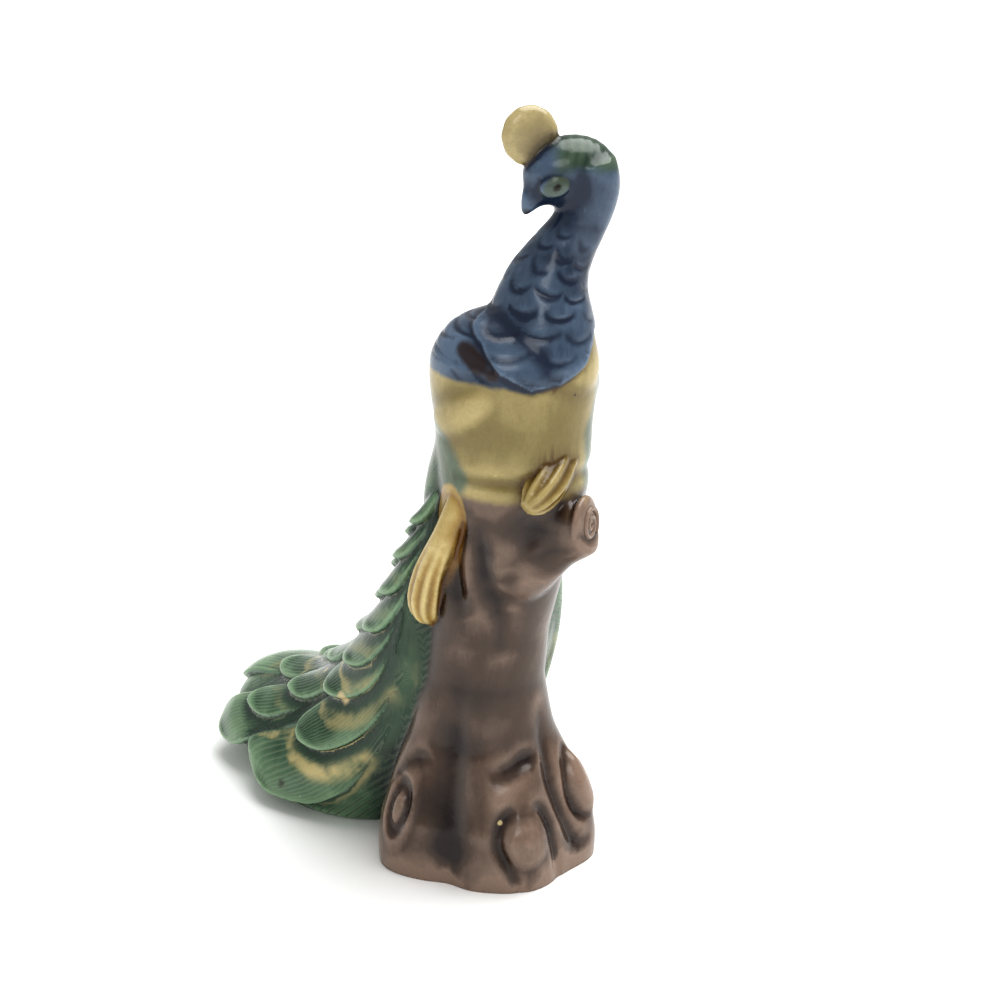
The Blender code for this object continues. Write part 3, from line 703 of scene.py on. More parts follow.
# Fine relief
# Lower end of the scaled bib over the breast: heading about the body's axis in degrees, and height.
COLLAR = (
    (-179, 0.1147),
    (-152, 0.1101),
    (-137, 0.1053),
    (-117, 0.1022),
    (-96, 0.1029),
    (-76, 0.1059),
    (-60, 0.1110),
    (-20, 0.1140),
    (120, 0.1150),
)
# Lower end of the blue glaze, in the same way.
BLUE_EDGE = (
    (177, 0.1040),
    (-168, 0.1035),
    (-137, 0.1028),
    (-117, 0.1016),
    (-96, 0.1024),
    (-76, 0.1059),
    (-66, 0.1085),
    (-50, 0.1130),
    (-10, 0.1110),
    (60, 0.1060),
    (120, 0.1050),
)


def over_line(line, points):
    """How far each point lies over a line round the bird."""
    away = points[:, :2] - BODY_AXIS[:2]
    heading = np.degrees(np.arctan2(away[:, 1], away[:, 0]))
    headings, heights = zip(*line)
    return points[:, 2] - np.interp(heading, headings, heights, period=360)


def on_neck(points):
    """Angle round the neck, distance along it from its foot, and distance out from its axis."""
    rows = row_at(NECK_ROWS, np.linspace(0, 1, 80))
    path = neck_place(rows)
    ahead = unit(np.gradient(path, axis=0))
    along_path = np.concatenate([[0], np.cumsum(np.linalg.norm(np.diff(path, axis=0), axis=1))])
    nearest = np.argmin(((points[:, None, :] - path[None]) ** 2).sum(-1), axis=1)
    offset = points - path[nearest]
    lengthwise = (offset * ahead[nearest]).sum(1)
    offset = offset - ahead[nearest] * lengthwise[:, None]
    front = np.array([-0.62, -0.79, 0.0])
    x = unit(front - (ahead @ front)[:, None] * ahead)
    y = np.cross(ahead, x)
    angle = np.arctan2((offset * y[nearest]).sum(1), (offset * x[nearest]).sum(1))
    return angle, along_path[nearest] + lengthwise, np.linalg.norm(offset, axis=1)


def scale_relief(angle, down):
    """Crescent strokes pressed into the clay in rows, each the lower edge of a scale."""
    down = down + 0.0003 * np.sin(5 * angle + 700 * down)
    relief = np.zeros(len(down))
    first = np.floor(down / SCALE_ROW)
    for step in (-1, 0, 1, 2):
        row = first + step
        column = angle / (2 * math.pi) * SCALES_ROUND + 0.5 * (row % 2)
        wobble = 0.12 * np.sin(7.0 * np.floor(column) + 3.0 * row)
        across = (column % 1 - 0.5 + wobble) / 0.46
        below = down - row * SCALE_ROW - wobble * 0.3 * SCALE_ROW
        arc = SCALE_BOW * (1 - across**2)
        depth = 0.72 + 0.28 * np.sin(11.0 * np.floor(column) + 5.0 * row)
        stroke = depth * np.exp(-(((below - arc) / SCALE_STROKE) ** 2)) * np.clip(1 - across**2, 0, 1)
        relief = np.minimum(relief, -stroke)
    return relief


def bird_relief(points):
    """The scales of the neck and shoulders, the collar's step and the stripes of the crown."""
    relief = np.zeros(len(points))
    high = (points[:, 2] > 0.094) & (points[:, 1] < 0.018)
    near = points[high]
    angle, along, out = on_neck(near)
    bib = over_line(COLLAR, near)
    blue = over_line(BLUE_EDGE, near)
    radius = 0.0115
    down = -along + 0.9 * np.clip(out - radius, 0, None) * (bib < 0)
    front = np.clip(0.62 + 0.6 * np.cos(angle + 0.5), 0.12, 1)
    below_head = np.clip((0.1310 - near[:, 2]) / 0.006, 0, 1)
    scales = scale_relief(angle, down + 0.1) * front * below_head * np.clip(blue / 0.0015, 0, 1)
    over_bib = np.clip(bib / 0.0006, -0.5, 0.5) + 0.5
    step = COLLAR_STEP * over_bib * np.clip((0.125 - near[:, 2]) / 0.012, 0, 1)
    ahead, up, _ = on_head(near)
    crown = np.clip((up - 0.03) / 0.08, 0, 1) * np.clip((0.22 - ahead) / 0.08, 0, 1)
    stripes = -0.00003 * np.cos((ahead + 0.35 * up) * HEAD_LENGTH / CROWN_STRIPE * 2 * math.pi) * crown
    relief[high] = scales * SCALE_RELIEF + step + stripes
    return relief


def on_head(points):
    """Places on the head: ahead, up and out to the left cheek, in head lengths."""
    offset = (points - head_place(0, 0)) / HEAD_LENGTH
    return offset @ LOOKING, offset @ UP, -offset @ CHEEK


def carved_casting():
    """The whole casting, carved and cut flat where it stands."""
    large = one_skin(mesh_of(large_forms(), "large forms"), BODY_VOXEL, 18)
    raise_by(large, bark_relief(points_of(large)) + belly_relief(points_of(large)))
    casting = one_skin(mesh_of(small_forms(), "casting", large), CARVING_VOXEL, 2)
    raise_by(casting, bird_relief(points_of(casting)))
    triangles = 2 * len(casting.polygons)
    casting = changed(casting, ("DECIMATE", {"ratio": MOST_TRIANGLES / triangles}))
    cut = bmesh.new()
    cut.from_mesh(casting)
    everything = cut.verts[:] + cut.edges[:] + cut.faces[:]
    cut_line = bmesh.ops.bisect_plane(
        cut, geom=everything, plane_co=(0, 0, 0), plane_no=(0, 0, 1), clear_inner=True
    )["geom_cut"]
    edges = [piece for piece in cut_line if isinstance(piece, bmesh.types.BMEdge)]
    bmesh.ops.holes_fill(cut, edges=edges)
    bmesh.ops.triangulate(cut, faces=[face for face in cut.faces if len(face.verts) > 3])
    cut.to_mesh(casting)
    cut.free()
    return casting


# Places on the casting
def skin_samples(rings, spacing=0.0009):
    """Points over a skin, no further apart than the spacing."""
    grid = np.array(rings)
    grid = np.concatenate([grid, grid[:, :1]], axis=1)
    for axis in (0, 1):
        longest = np.percentile(np.linalg.norm(np.diff(grid, axis=axis), axis=2), 95)
        at = np.linspace(0, grid.shape[axis] - 1, (grid.shape[axis] - 1) * math.ceil(longest / spacing) + 1)
        low = np.minimum(at.astype(int), grid.shape[axis] - 2)
        share = (at - low).reshape((-1, 1, 1) if axis == 0 else (1, -1, 1))
        grid = np.take(grid, low, axis) * (1 - share) + np.take(grid, low + 1, axis) * share
    return grid.reshape(-1, 3)


def tree_of(points):
    tree = KDTree(len(points))
    for number, point in enumerate(points):
        tree.insert(point, number)
    tree.balance()
    return tree


def distances(points, skins):
    """Distance from each point to the nearest of these skins."""
    tree = tree_of(np.concatenate([skin_samples(rings) for rings in skins]))
    return np.array([tree.find(point)[2] for point in points])


def evened(mesh, values, rounds):
    """Values at the points of a mesh, drawn towards their neighbours' so many times."""
    edges = np.empty(2 * len(mesh.edges), int)
    mesh.edges.foreach_get("vertices", edges)
    a, b = edges.reshape(-1, 2).T
    size = len(values)
    count = np.bincount(a, minlength=size) + np.bincount(b, minlength=size)
    for _ in range(rounds):
        total = np.bincount(a, values[b], size) + np.bincount(b, values[a], size)
        values = 0.5 * values + 0.5 * total / count
    return values


def hollows(mesh, rounds):
    """How far the skin round each point stands out over it: above 0 in a hollow, below 0 on an edge."""
    points = points_of(mesh)
    moved = np.stack([evened(mesh, points[:, axis], rounds) for axis in range(3)], 1)
    return ((moved - points) * normals_of(mesh)).sum(1)


# Points this close to a feather or to the train are on it, and FAR stands for out of reach.
ON_FEATHER = 0.0009
ON_TRAIN = 0.0012
FAR = 0.020
# The distance to an overlap that the train has between its feathers.
PLAIN_OVERLAP = 0.0028
# How much cream each feather of the train shows beyond its overlap.
BARE_SHARES = (0.25, 0.05, 0.95, 0.35, 0.15, 0.50, 0.30, 0.20, 0.55, 0.20, 0.25, 0.15) + 11 * (0.10,)


def finer(line, spacing=0.00025):
    """The same line with points at an even, close spacing."""
    along = np.concatenate([[0], np.cumsum(np.linalg.norm(np.diff(line, axis=0), axis=1))])
    at = np.linspace(0, along[-1], 2 + int(along[-1] / spacing))
    return np.stack([np.interp(at, along, line[:, axis]) for axis in range(3)], 1)


def feather_places(points, near):
    """For the points near the train: place across the nearest feather, its tone, and the distance to its own
    rim and to the rim of the feather that lies over it.
    """
    # Off the feathers the barbs' lines run along the train's own slope.
    across = points @ np.array([0, 0.66, 0.75]) / MILLIMETRE
    tone = np.zeros(len(points))
    rim, over = np.full(len(points), FAR), np.full(len(points), PLAIN_OVERLAP)
    found = feathers(2)
    tops = np.concatenate([tops.reshape(-1, 3) for tops, _, _ in found])
    places = np.concatenate([places.ravel() for _, _, places in found])
    owner = np.concatenate([np.full(places.size, number) for number, (_, _, places) in enumerate(found)])
    tips = [row[0] for row in FEATHERS for _ in range(2 if row[1] else 1)]
    tones = [share for share, row in zip(BARE_SHARES, FEATHERS) for _ in range(2 if row[1] else 1)]
    rim_points, rim_owner = [], []
    for number, (tops_of, _, _) in enumerate(found):
        outline = finer(np.concatenate([tops_of[12:, 0], tops_of[-1], tops_of[12:, -1][::-1]]))
        rim_points.append(outline)
        rim_owner.append(np.full(len(outline), number))
    rim_points, rim_owner = np.concatenate(rim_points), np.concatenate(rim_owner)
    surface, rims = tree_of(tops), tree_of(rim_points)
    for number in np.flatnonzero(near):
        _, nearest, far = surface.find(points[number])
        if far > ON_FEATHER:
            continue
        mine = owner[nearest]
        across[number] = places[nearest]
        tone[number] = tones[mine]
        own = other = None
        for _, index, away in rims.find_n(points[number], 90):
            if rim_owner[index] == mine:
                own = away if own is None else own
            elif tips[rim_owner[index]] < tips[mine] - 0.03:
                other = away if other is None else other
            if own is not None and other is not None:
                break
        rim[number] = own if own is not None else away
        over[number] = other if other is not None else FAR
    return {"across": across, "tone": tone, "rim": rim / MILLIMETRE, "overlap": over / MILLIMETRE}


# Where glaze pooled (above 0) or ran thin beyond what the form gives, and painted light: the dark blots beside
# and under the leg, under the foot and stub and between the train and the trunk are painted shade, and the pale
# blots on ridges and on the shoulder are painted highlights. Place and radius in millimetres, and share. The
# tables after it are laid out in the same way.
GLAZE_RUNS_AND_PAINTED_LIGHT = (
    (-14.4, -8.1, 9.0, 4.6, 1.5),
    (-12.0, -9.0, 3.5, 4.0, 1.0),
    (-16.4, -4.1, 16.5, 4.0, 0.7),
    (-9.5, -13.9, 70.5, 2.2, 0.9),
    (-9.3, -13.6, 66.0, 2.2, 0.9),
    (-8.7, -12.9, 61.0, 2.4, 0.6),
    (-12.3, -9.3, 73.1, 2.6, 1.0),
    (-11.5, -6.4, 60.0, 2.6, 0.8),
    (-11.3, -6.8, 55.0, 2.4, 0.7),
    (-5.5, -18.7, 75.2, 2.6, 0.6),
    (-2.1, -14.8, 24.6, 2.6, 0.7),
    (-16.6, 14.0, 13.4, 3.5, 1.2),
    (-15.4, 12.6, 21.0, 3.0, 0.9),
    (-0.1, -20.2, 11.0, 2.6, 0.8),
    (-0.2, -23.9, 77.4, 2.4, 0.8),
    (-8.2, -9.2, 38.1, 3.6, 0.5),
    (-9.5, -8.2, 27.4, 3.0, 0.4),
    (-7.7, -15.6, 18.9, 2.6, -0.7),
    (-7.9, -13.2, 26.0, 3.0, -0.4),
    (5.3, -11.8, 35.2, 3.0, -0.5),
    (4.9, -12.6, 50.0, 4.0, -0.5),
    (11.2, -17.5, 18.0, 4.5, -0.9),
    (-21.2, -0.2, 1.6, 3.0, -0.5),
    (-14.0, 3.0, 30.0, 4.0, -0.3),
    (-16.5, -7.5, 109.0, 4.5, -0.7),
)
# Where the straw glaze of the belly runs down over the top of the leg.
STRAW_OVER_LEG = (
    (-13.4, -5.6, 77.6, 3.6, 6.0),
    (-14.6, -6.6, 74.6, 3.0, 3.0),
)
# Where green covers the cream again on the lowest feather.
GREEN_AGAIN = (
    (-15.0, 9.8, 26.5, 4.5, 1.4),
    (-16.4, 13.3, 22.1, 4.0, 1.3),
    (-15.4, 11.0, 30.0, 3.0, 0.8),
)
# Red-brown clay that the glaze left bare.
BARE_CLAY = (
    (-14.2, -11.8, 110.2, 1.8, 1.0),
    (-13.4, -13.8, 108.6, 2.1, 1.0),
    (-12.6, -15.8, 106.6, 1.9, 1.0),
    (-11.2, -18.0, 104.9, 1.3, 1.0),
    (-12.2, -7.3, 52.6, 1.3, 0.7),
    (-10.9, -8.6, 51.8, 1.0, 0.6),
    (-13.9, -3.6, 77.0, 1.2, 0.6),
)
# Pale unglazed body: drips off the rims and a few specks.
SCUM = (
    (-18.2, 24.1, 29.3, 1.7, 1.0),
    (-12.2, 40.1, 28.4, 1.0, 0.8),
    (-17.4, 21.8, 0.8, 1.7, 0.9),
    (-13.3, -6.8, 65.4, 1.0, 1.0),
    (-12.8, -7.0, 63.9, 0.8, 0.8),
    (-6.7, -24.0, 81.6, 0.5, 1.0),
    (-8.1, -16.0, 14.2, 0.6, 1.0),
    (1.9, -20.3, 8.0, 0.5, 0.8),
)
# Scratches and dark specks, and painted shade for the hollow of a chip in the rim of a hem feather.
DIRT_AND_CHIP_SHADE = (
    (3.0, -23.8, 100.6, 0.5, 0.9),
    (4.2, -23.4, 100.1, 0.5, 0.9),
    (1.6, -24.1, 100.4, 0.3, 0.7),
    (3.6, -21.2, 137.8, 0.5, 0.6),
    (-26.7, 37.0, 7.0, 1.3, 1.0),
    (-0.9, -14.6, 132.7, 1.3, 0.75),
)


def runs(points, blots):
    """The sum of soft blots at each point."""
    total = np.zeros(len(points))
    for x, y, z, radius, share in blots:
        away = np.linalg.norm(points / MILLIMETRE - np.array([x, y, z]), axis=1)
        total += share * np.exp(-((away / radius) ** 2))
    return total


# The straw breast: its middle's heading, and the angle that it takes up to each side of it, by height.
BREAST_HEADING = -125
RIGHT_WING_EDGE = ((0.080, 52), (0.084, 38), (0.087, 44), (0.092, 58), (0.098, 74), (0.104, 80))
LEFT_WING_EDGE = ((0.080, 64), (0.086, 60), (0.092, 57), (0.098, 72), (0.104, 82))
BARK_TOP = 0.0810


def place_fields(mesh):
    """Fields of the skin that the glazes follow. Those that divide two glazes are signed distances."""
    points = points_of(mesh)
    trunk = distances(points, [stump_rings()])
    stub = distances(points, [stub_rings()])
    bird = [body_rings(), neck_rings(), skull_rings(), beak_rings()]
    bird += [shape(hand) for shape in (shoulder_rings, wing_rings) for hand in (-1, 1)]
    bird = distances(points, bird)
    feather_tops = [tops for tops, _, _ in feathers()]
    train = distances(points, [train_rings()] + feather_tops)
    leg = distances(points, [leg_rings()])
    foot = distances(points, [foot_rings()])
    crest = distances(points, [crest_rings()])
    away = points[:, :2] - BODY_AXIS[:2]
    heading = np.degrees(np.arctan2(away[:, 1], away[:, 0]))
    fields = feather_places(points, train < ON_TRAIN)
    for name, rounds in (("across", 2), ("tone", 6), ("rim", 2), ("overlap", 4)):
        fields[name] = evened(mesh, fields[name], rounds)
    rump = 0.0025 * (points[:, 1] > -0.0035) * np.clip((0.094 - points[:, 2]) / 0.006, 0, 1)
    fields["train"] = (np.minimum(np.minimum(trunk, leg), bird + rump) - train) / MILLIMETRE
    fields["leg"] = (np.minimum(np.minimum(trunk, train), bird) - leg) / MILLIMETRE
    fields["leg"] += runs(points, STRAW_OVER_LEG)
    fields["tone"] *= np.clip(1 - runs(points, GREEN_AGAIN), 0, 1)
    fields["foot"] = (np.minimum(bird, stub) - foot) / MILLIMETRE
    fields["blue"] = over_line(BLUE_EDGE, points) / MILLIMETRE
    fields["crest"] = (bird - crest) / MILLIMETRE
    middle = (heading - BREAST_HEADING + 180) % 360 - 180
    right_side = np.interp(points[:, 2], *zip(*RIGHT_WING_EDGE))
    left_side = np.interp(points[:, 2], *zip(*LEFT_WING_EDGE))
    breast = np.where(middle < 0, right_side, left_side)
    fields["wing"] = (abs(middle) - breast) * math.pi / 180 * BODY_RADIUS / MILLIMETRE
    # In front the bark's glaze ends on a level line, and behind it ends where the bird does.
    behind = np.clip((abs(middle) - breast) / 12, 0, 1)
    level = (1 - behind) * (BARK_TOP - points[:, 2]) + behind * (bird - trunk)
    fields["bark"] = np.maximum(level, bird - stub) / MILLIMETRE
    ahead, up, out = on_head(points)
    fields["crown"] = np.minimum(up - 0.03, 0.24 - ahead) * HEAD_LENGTH / MILLIMETRE
    eye = np.hypot((ahead - 0.27) / 0.155, (up + 0.13 + 0.2 * (ahead - 0.27)) / 0.125)
    fields["eye"] = np.where((abs(out) > 0.12) & (points[:, 2] > 0.125), eye, 9.0)
    fine, broad = hollows(mesh, 5), hollows(mesh, 60)
    fields["hollow"] = fine / MILLIMETRE
    # The broad hollows, plus the glaze runs and the painted shade and painted highlights of the runs table.
    fields["valley_and_painted_light"] = broad / MILLIMETRE + runs(points, GLAZE_RUNS_AND_PAINTED_LIGHT)
    fields["clay"] = runs(points, BARE_CLAY)
    fields["scum"] = runs(points, SCUM)
    fields["dirt_and_chip_shade"] = runs(points, DIRT_AND_CHIP_SHADE)
    return fields


def store_fields(mesh, fields):
    for name, values in fields.items():
        attribute = mesh.attributes.new(name, "FLOAT", "POINT")
        attribute.data.foreach_set("value", np.asarray(values, np.float32))


# Materials
def add(tree, kind, inputs=None, **settings):
    """Adds a node with its settings. Each input takes a value or the socket that feeds it."""
    node = tree.nodes.new(kind)
    for name, value in settings.items():
        setattr(node, name, value)
    for name, value in (inputs or {}).items():
        if isinstance(value, bpy.types.NodeSocket):
            tree.links.new(value, node.inputs[name])
        else:
            node.inputs[name].default_value = value
    return node


def linear(hex_colour):
    """An sRGB hex colour as linear red, green and blue with full alpha."""
    parts = [int(hex_colour[at : at + 2], 16) / 255 for at in (1, 3, 5)]
    return [c / 12.92 if c <= 0.04045 else ((c + 0.055) / 1.055) ** 2.4 for c in parts] + [1.0]


# Coloured lead glazes: where each is thin over an edge, at its usual depth, and pooled in a hollow.
STRAW = ("#bcac7c", "#877a4d", "#614a24")
AUBERGINE = ("#8b7769", "#524238", "#20120f")
SLATE_BLUE = ("#607286", "#1f2e43", "#07112b")
COPPER_GREEN = ("#7e9b7a", "#254932", "#0a201a")
WING_GREEN = ("#808d7a", "#535f4a", "#25342b")
CROWN_GREEN = ("#506250", "#22382b", "#0e1d17")
CREST_TAN = ("#b2a47b", "#675b40", "#322a14")
AMBER = ("#cfbd88", "#a88d50", "#6a4818")
TOE_BROWN = ("#a99868", "#7c6838", "#4e3714")
# Each glaze over the ones before it: the field that bounds it, how far its edge wanders and how soft it is.
GLAZES = (
    ("wing", WING_GREEN, 2.4, 1.6),
    ("bark", AUBERGINE, 1.6, 0.9),
    ("blue", SLATE_BLUE, 1.4, 0.6),
    ("train", COPPER_GREEN, 0.8, 0.6),
    ("leg", AMBER, 0.6, 0.5),
    ("foot", TOE_BROWN, 0.6, 0.7),
    ("crown", CROWN_GREEN, 3.0, 1.5),
    ("crest", CREST_TAN, 0.6, 0.4),
)


def glaze_depth_and_painted_light(tree):
    """0 where the glaze runs thin over an edge, 0.5 on level ground and 1 where it pools. Through the broad
    field it also carries the painted shade and painted highlights of the runs table.
    """
    fine = add(tree, "ShaderNodeAttribute", attribute_name="hollow").outputs["Fac"]
    broad = add(tree, "ShaderNodeAttribute", attribute_name="valley_and_painted_light").outputs["Fac"]
    place = add(tree, "ShaderNodeTexCoord").outputs["Object"]
    drift = add(tree, "ShaderNodeTexNoise", {"Vector": place, "Scale": 140.0, "Detail": 4.0}).outputs["Fac"]
    near = add(tree, "ShaderNodeMath", {0: fine, 1: 2.6, 2: 0.5}, operation="MULTIPLY_ADD").outputs[0]
    both = add(tree, "ShaderNodeMath", {0: broad, 1: 0.42, 2: near}, operation="MULTIPLY_ADD").outputs[0]
    mottled = add(tree, "ShaderNodeMath", {0: drift, 1: 0.36, 2: both}, operation="MULTIPLY_ADD").outputs[0]
    clamped = {"operation": "SUBTRACT", "use_clamp": True}
    return add(tree, "ShaderNodeMath", {0: mottled, 1: 0.18}, **clamped).outputs[0]


def glaze(tree, depth, colours):
    """The colour of one glaze at each depth."""
    ramp = add(tree, "ShaderNodeValToRGB", {"Fac": depth})
    stops = ramp.color_ramp.elements
    stops[0].position, stops[0].color = 0.08, linear(colours[0])
    stops[1].position, stops[1].color = 0.94, linear(colours[2])
    middle = stops.new(0.46)
    middle.color = linear(colours[1])
    return ramp.outputs["Color"]


def edge_of(tree, field, wander, soft):
    """1 on the glaze's own side of a field's zero line, 0 beyond it. The line wanders as a wet glaze runs."""
    value = add(tree, "ShaderNodeAttribute", attribute_name=field).outputs["Fac"]
    place = add(tree, "ShaderNodeTexCoord").outputs["Object"]
    run = add(tree, "ShaderNodeTexNoise", {"Vector": place, "Scale": 330.0, "Detail": 3.0}).outputs["Fac"]
    wandering = {0: run, 1: wander, 2: value}
    edge = add(tree, "ShaderNodeMath", wandering, operation="MULTIPLY_ADD").outputs[0]
    limits = {"Value": edge, "From Min": wander / 2 - soft, "From Max": wander / 2 + soft}
    return add(tree, "ShaderNodeMapRange", limits, interpolation_type="SMOOTHSTEP").outputs[0]


def share_of(tree, field, none, full, most=1.0):
    """0 where a field is at its first value, rising smoothly to the most at its second."""
    value = field
    if isinstance(field, str):
        value = add(tree, "ShaderNodeAttribute", attribute_name=field).outputs["Fac"]
    low, high = (0.0, most) if none < full else (most, 0.0)
    limits = {"Value": value, "From Min": min(none, full), "From Max": max(none, full)}
    limits |= {"To Min": low, "To Max": high}
    return add(tree, "ShaderNodeMapRange", limits, interpolation_type="SMOOTHSTEP").outputs[0]


def feather_marks(tree):
    """Shares of the cream left bare beyond each overlap, of the barbs' strokes, which merge into painted shadow
    just under the rim of the feather that lies over them, of the paler web between barbs and of the pale line
    on the rim.
    """
    across = add(tree, "ShaderNodeAttribute", attribute_name="across").outputs["Fac"]
    overlap = add(tree, "ShaderNodeAttribute", attribute_name="overlap").outputs["Fac"]
    on_train = edge_of(tree, "train", 0.4, 0.3)
    place = add(tree, "ShaderNodeTexCoord").outputs["Object"]
    patch = add(tree, "ShaderNodeTexNoise", {"Vector": place, "Scale": 110.0, "Detail": 3.0}).outputs["Fac"]
    tone = add(tree, "ShaderNodeAttribute", attribute_name="tone").outputs["Fac"]
    shares = [share_of(tree, overlap, 2.0, 4.2), share_of(tree, overlap, 8.0, 5.0)]
    shares += [share_of(tree, patch, 0.30, 0.55), tone, share_of(tree, "rim", 0.4, 1.4), on_train]
    cream = shares[0]
    for share in shares[1:]:
        cream = add(tree, "ShaderNodeMath", {0: cream, 1: share}, operation="MULTIPLY").outputs[0]
    # Barbs 1.2 mm apart, drawn as strokes that taper away from the rim over them. Right next to that rim they
    # merge into a solid band of painted shadow.
    wave = add(tree, "ShaderNodeMath", {0: across, 1: BARB_SPACING / 2}, operation="PINGPONG").outputs[0]
    longer = {0: patch, 1: 2.4, 2: overlap}
    ragged = add(tree, "ShaderNodeMath", longer, operation="MULTIPLY_ADD").outputs[0]
    narrower = {0: ragged, 1: -0.175, 2: wave}
    tapered = add(tree, "ShaderNodeMath", narrower, operation="MULTIPLY_ADD").outputs[0]
    stroke = share_of(tree, tapered, -0.34, -0.06, 0.75)
    barb_and_rim_shadow = add(tree, "ShaderNodeMath", {0: stroke, 1: on_train}, operation="MULTIPLY").outputs[0]
    between = share_of(tree, wave, 0.20, 0.55, 0.20)
    web = add(tree, "ShaderNodeMath", {0: between, 1: on_train}, operation="MULTIPLY").outputs[0]
    thin = share_of(tree, "rim", 0.80, 0.30, 0.55)
    rim = add(tree, "ShaderNodeMath", {0: thin, 1: on_train}, operation="MULTIPLY").outputs[0]
    return cream, barb_and_rim_shadow, web, rim


def lead_glaze():
    """Lead glaze over buff earthenware: a thick, soft glass, smooth but for wear, so it is glossy with mild
    waves, shows the clay pale where it runs off edges, deepens where it pools, and is crazed with fine cracks.
    """
    material = bpy.data.materials.new("coloured lead glaze")
    material.use_nodes = True
    tree = material.node_tree
    shader = tree.nodes["Principled BSDF"]
    depth = glaze_depth_and_painted_light(tree)
    place = add(tree, "ShaderNodeTexCoord").outputs["Object"]
    cream, barb_and_rim_shadow, web, rim = feather_marks(tree)
    # Crazing: cells about 1.1 mm across, drawn a little wider than a real craze line so that it shows.
    cells = {"Vector": place, "Scale": 900.0}
    craze = add(tree, "ShaderNodeTexVoronoi", cells, feature="DISTANCE_TO_EDGE").outputs[0]
    layers = []
    for field, colours, wander, soft in GLAZES:
        layers.append((glaze(tree, depth, colours), edge_of(tree, field, wander, soft)))
    layers += [
        (linear("#c3b27e"), cream),
        (linear("#a3b08e"), web),
        # Dark barb strokes, with a solid band of painted shadow just under an overlapping feather's rim.
        (linear("#132c22"), barb_and_rim_shadow),
        (linear("#8aa38b"), rim),
        (linear("#5c664a"), share_of(tree, "eye", 1.0, 0.70, 0.62)),
        (linear("#1a160c"), share_of(tree, "eye", 0.42, 0.16)),
        (linear("#2c1a15"), share_of(tree, "clay", 0.25, 0.85, 0.9)),
        (linear("#cbb98d"), share_of(tree, "scum", 0.25, 0.7, 0.9)),
        # Scratches and specks, and a spot of painted shade for the chip on the hem.
        (linear("#241d16"), share_of(tree, "dirt_and_chip_shade", 0.3, 0.8, 0.85)),
        (linear("#3a2c18"), share_of(tree, craze, 0.05, 0.0, 0.13)),
    ]
    colour = glaze(tree, depth, STRAW)
    for above, share in layers:
        colour = add(tree, "ShaderNodeMix", {0: share, 6: colour, 7: above}, data_type="RGBA").outputs[2]
    wave = add(tree, "ShaderNodeTexNoise", {"Vector": place, "Scale": 420.0, "Detail": 2.0}).outputs["Fac"]
    height = add(tree, "ShaderNodeMath", {0: barb_and_rim_shadow, 1: -0.30, 2: wave}, operation="MULTIPLY_ADD").outputs[0]
    waves = {"Height": height, "Distance": 0.00014, "Strength": 0.5}
    bump = add(tree, "ShaderNodeBump", waves).outputs["Normal"]
    tree.links.new(colour, shader.inputs["Base Color"])
    tree.links.new(bump, shader.inputs["Normal"])
    shader.inputs["Roughness"].default_value = 0.22
    shader.inputs["IOR"].default_value = 1.55
    return material


# Spiral on the stub
# It lies in the bark's glaze, running thin, and out of reach of every other one.
SPIRAL_FIELDS = {"bark": 5.0, "hollow": -0.22, "blue": -20.0, "eye": 9.0, "overlap": 20.0, "rim": 20.0}
SPIRAL_FIELDS |= dict.fromkeys(("wing", "train", "leg", "foot", "crown", "crest"), -9.0)


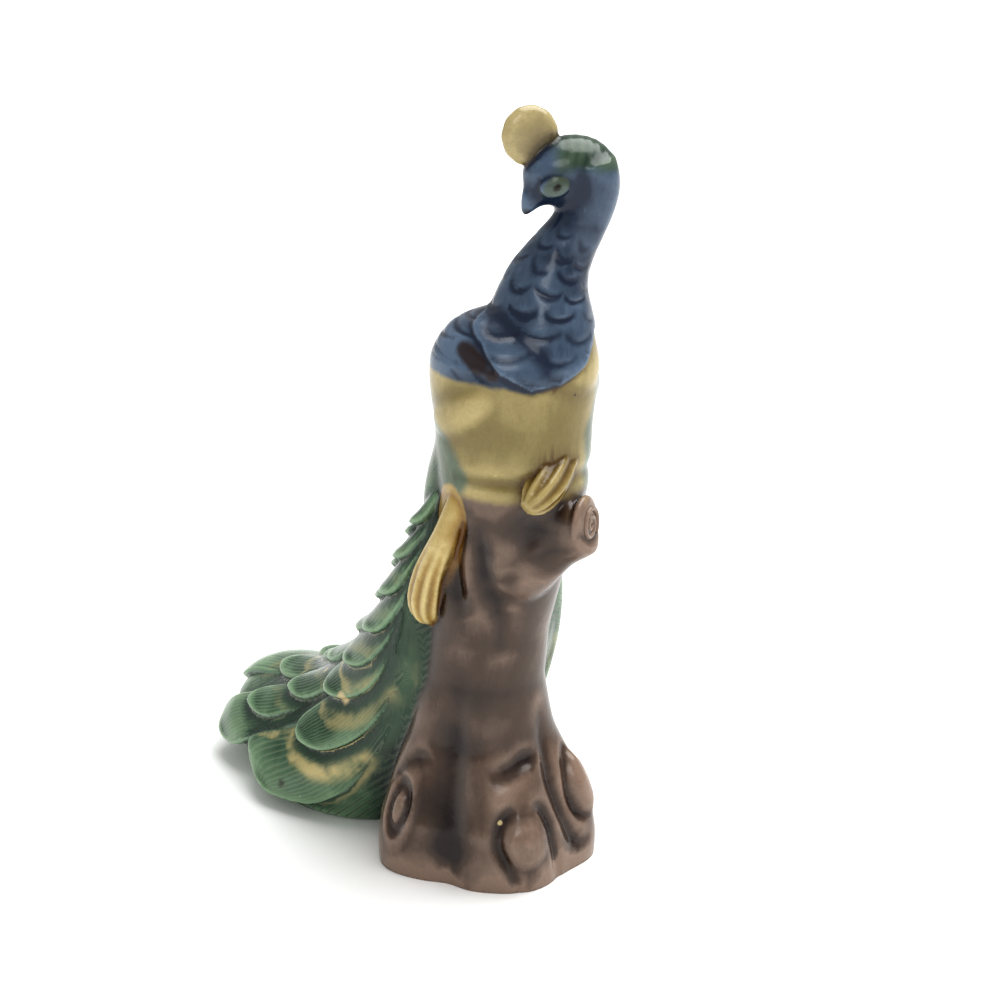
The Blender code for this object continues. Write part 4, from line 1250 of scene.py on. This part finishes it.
def spiral_piece(material):
    """The raised line on the sawn end of the stub, wound as a flat coil."""
    tree = bpy.data.node_groups.new("wound line", "GeometryNodeTree")
    sizes = {}
    for name, size in (("Turns", 2.1), ("Reach", 0.66 * STUB_RADIUS), ("Wire", SPIRAL_WIRE)):
        socket = tree.interface.new_socket(name, in_out="INPUT", socket_type="NodeSocketFloat")
        sizes[socket.identifier] = size
    tree.interface.new_socket("Geometry", in_out="OUTPUT", socket_type="NodeSocketGeometry")
    given = add(tree, "NodeGroupInput").outputs
    start = add(tree, "ShaderNodeMath", {0: given["Reach"], 1: 0.08}, operation="MULTIPLY").outputs[0]
    winding = add(
        tree,
        "GeometryNodeCurveSpiral",
        {
            "Resolution": 48,
            "Rotations": given["Turns"],
            "Start Radius": start,
            "End Radius": given["Reach"],
            "Height": 0.0,
        },
    ).outputs["Curve"]
    facing = Vector(STUB_FACING).to_track_quat("Z", "Y").to_euler()
    placed = add(
        tree,
        "GeometryNodeTransform",
        {
            "Geometry": winding,
            "Translation": tuple(stub_end() + (0.20 * STUB_RADIUS - 0.3 * SPIRAL_WIRE) * STUB_FACING),
            "Rotation": facing,
            "Scale": (0.92, 1.10, 1.0),
        },
    ).outputs[0]
    section = {"Resolution": 10, "Radius": given["Wire"]}
    round_wire = add(tree, "GeometryNodeCurvePrimitiveCircle", section).outputs[0]
    swept = {"Curve": placed, "Profile Curve": round_wire, "Fill Caps": True}
    wire = add(tree, "GeometryNodeCurveToMesh", swept).outputs[0]
    for name, value in SPIRAL_FIELDS.items():
        stored = {"Geometry": wire, "Name": name, "Value": value}
        wire = add(
            tree, "GeometryNodeStoreNamedAttribute", stored, data_type="FLOAT", domain="POINT"
        ).outputs[0]
    smooth = add(tree, "GeometryNodeSetShadeSmooth", {"Geometry": wire}).outputs[0]
    solid = add(tree, "GeometryNodeRealizeInstances", {"Geometry": smooth}).outputs[0]
    glazed = add(tree, "GeometryNodeSetMaterial", {"Geometry": solid, "Material": material}).outputs[0]
    tree.links.new(glazed, add(tree, "NodeGroupOutput").inputs[0])
    maker = bpy.data.objects.new("spiral_maker", bpy.data.meshes.new("spiral maker"))
    bpy.context.scene.collection.objects.link(maker)
    modifier = maker.modifiers.new("wound line", "NODES")
    modifier.node_group = tree
    for identifier, size in sizes.items():
        modifier[identifier] = size
    bpy.context.view_layer.update()
    mesh = bpy.data.meshes.new_from_object(maker.evaluated_get(bpy.context.evaluated_depsgraph_get()))
    bpy.data.objects.remove(maker)
    return placed_piece("stub_spiral", mesh)


def placed_piece(name, mesh):
    """An object for a finished mesh, riding on the figurine's one body."""
    piece = bpy.data.objects.new(name, mesh)
    bpy.context.scene.collection.objects.link(piece)
    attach(piece, "root")
    return piece


# Studio
FLOOR_RADIUS = 12.0
TARGET = Vector((0.002758, -0.002155, 0.0751))
CAMERA_HEADING = math.radians(-38)
CAMERA_RISE = math.radians(18)
CAMERA_DISTANCE = 0.325


def stage():
    """A pale table, a soft surround, a wide light overhead and a window."""
    bpy.ops.mesh.primitive_circle_add(vertices=96, radius=FLOOR_RADIUS, fill_type="NGON")
    floor = bpy.context.active_object
    floor.name = "floor"
    paper = bpy.data.materials.new("white card")
    paper.use_nodes = True
    shader = paper.node_tree.nodes["Principled BSDF"]
    shader.inputs["Base Color"].default_value = linear("#f4f4f3")
    shader.inputs["Roughness"].default_value = 0.7
    floor.data.materials.append(paper)
    world = bpy.data.worlds.new("white surround")
    bpy.context.scene.world = world
    world.use_nodes = True
    background = world.node_tree.nodes["Background"]
    background.inputs["Color"].default_value = linear("#ffffff")
    background.inputs["Strength"].default_value = 0.46
    lamps = (
        ("bright ceiling", (0.42, -0.10, 1.0), 60, 2.35),
        ("window", (-0.55, -0.75, 0.55), 24, 0.28),
    )
    for name, towards, width, power in lamps:
        lamp = bpy.data.lights.new(name, "SUN")
        lamp.angle = math.radians(width)
        lamp.energy = power
        light = bpy.data.objects.new(name, lamp)
        bpy.context.scene.collection.objects.link(light)
        light.rotation_euler = Vector(towards).to_track_quat("Z", "Y").to_euler()


def camera():
    """The photograph's view: from the bird's right front, a little above."""
    lens = bpy.data.cameras.new("camera")
    lens.lens = 60
    lens.sensor_width = 36
    lens.clip_start = 0.01
    view = bpy.data.objects.new("camera", lens)
    bpy.context.scene.collection.objects.link(view)
    level = math.cos(CAMERA_RISE)
    across, ahead = math.sin(CAMERA_HEADING) * level, math.cos(CAMERA_HEADING) * level
    back = Vector((across, -ahead, math.sin(CAMERA_RISE)))
    view.location = TARGET + back * CAMERA_DISTANCE
    view.rotation_euler = back.to_track_quat("Z", "Y").to_euler()
    bpy.context.scene.camera = view


def main():
    material = lead_glaze()
    casting = carved_casting()
    store_fields(casting, place_fields(casting))
    casting.materials.clear()
    casting.materials.append(material)
    casting.shade_smooth()
    figurine = placed_piece("glazed_casting", casting)
    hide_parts(NODE)
    spiral_piece(material)
    stage()
    camera()
    bpy.context.scene.view_settings.view_transform = "Standard"
    bpy.context.scene.view_settings.look = "High Contrast"


main()
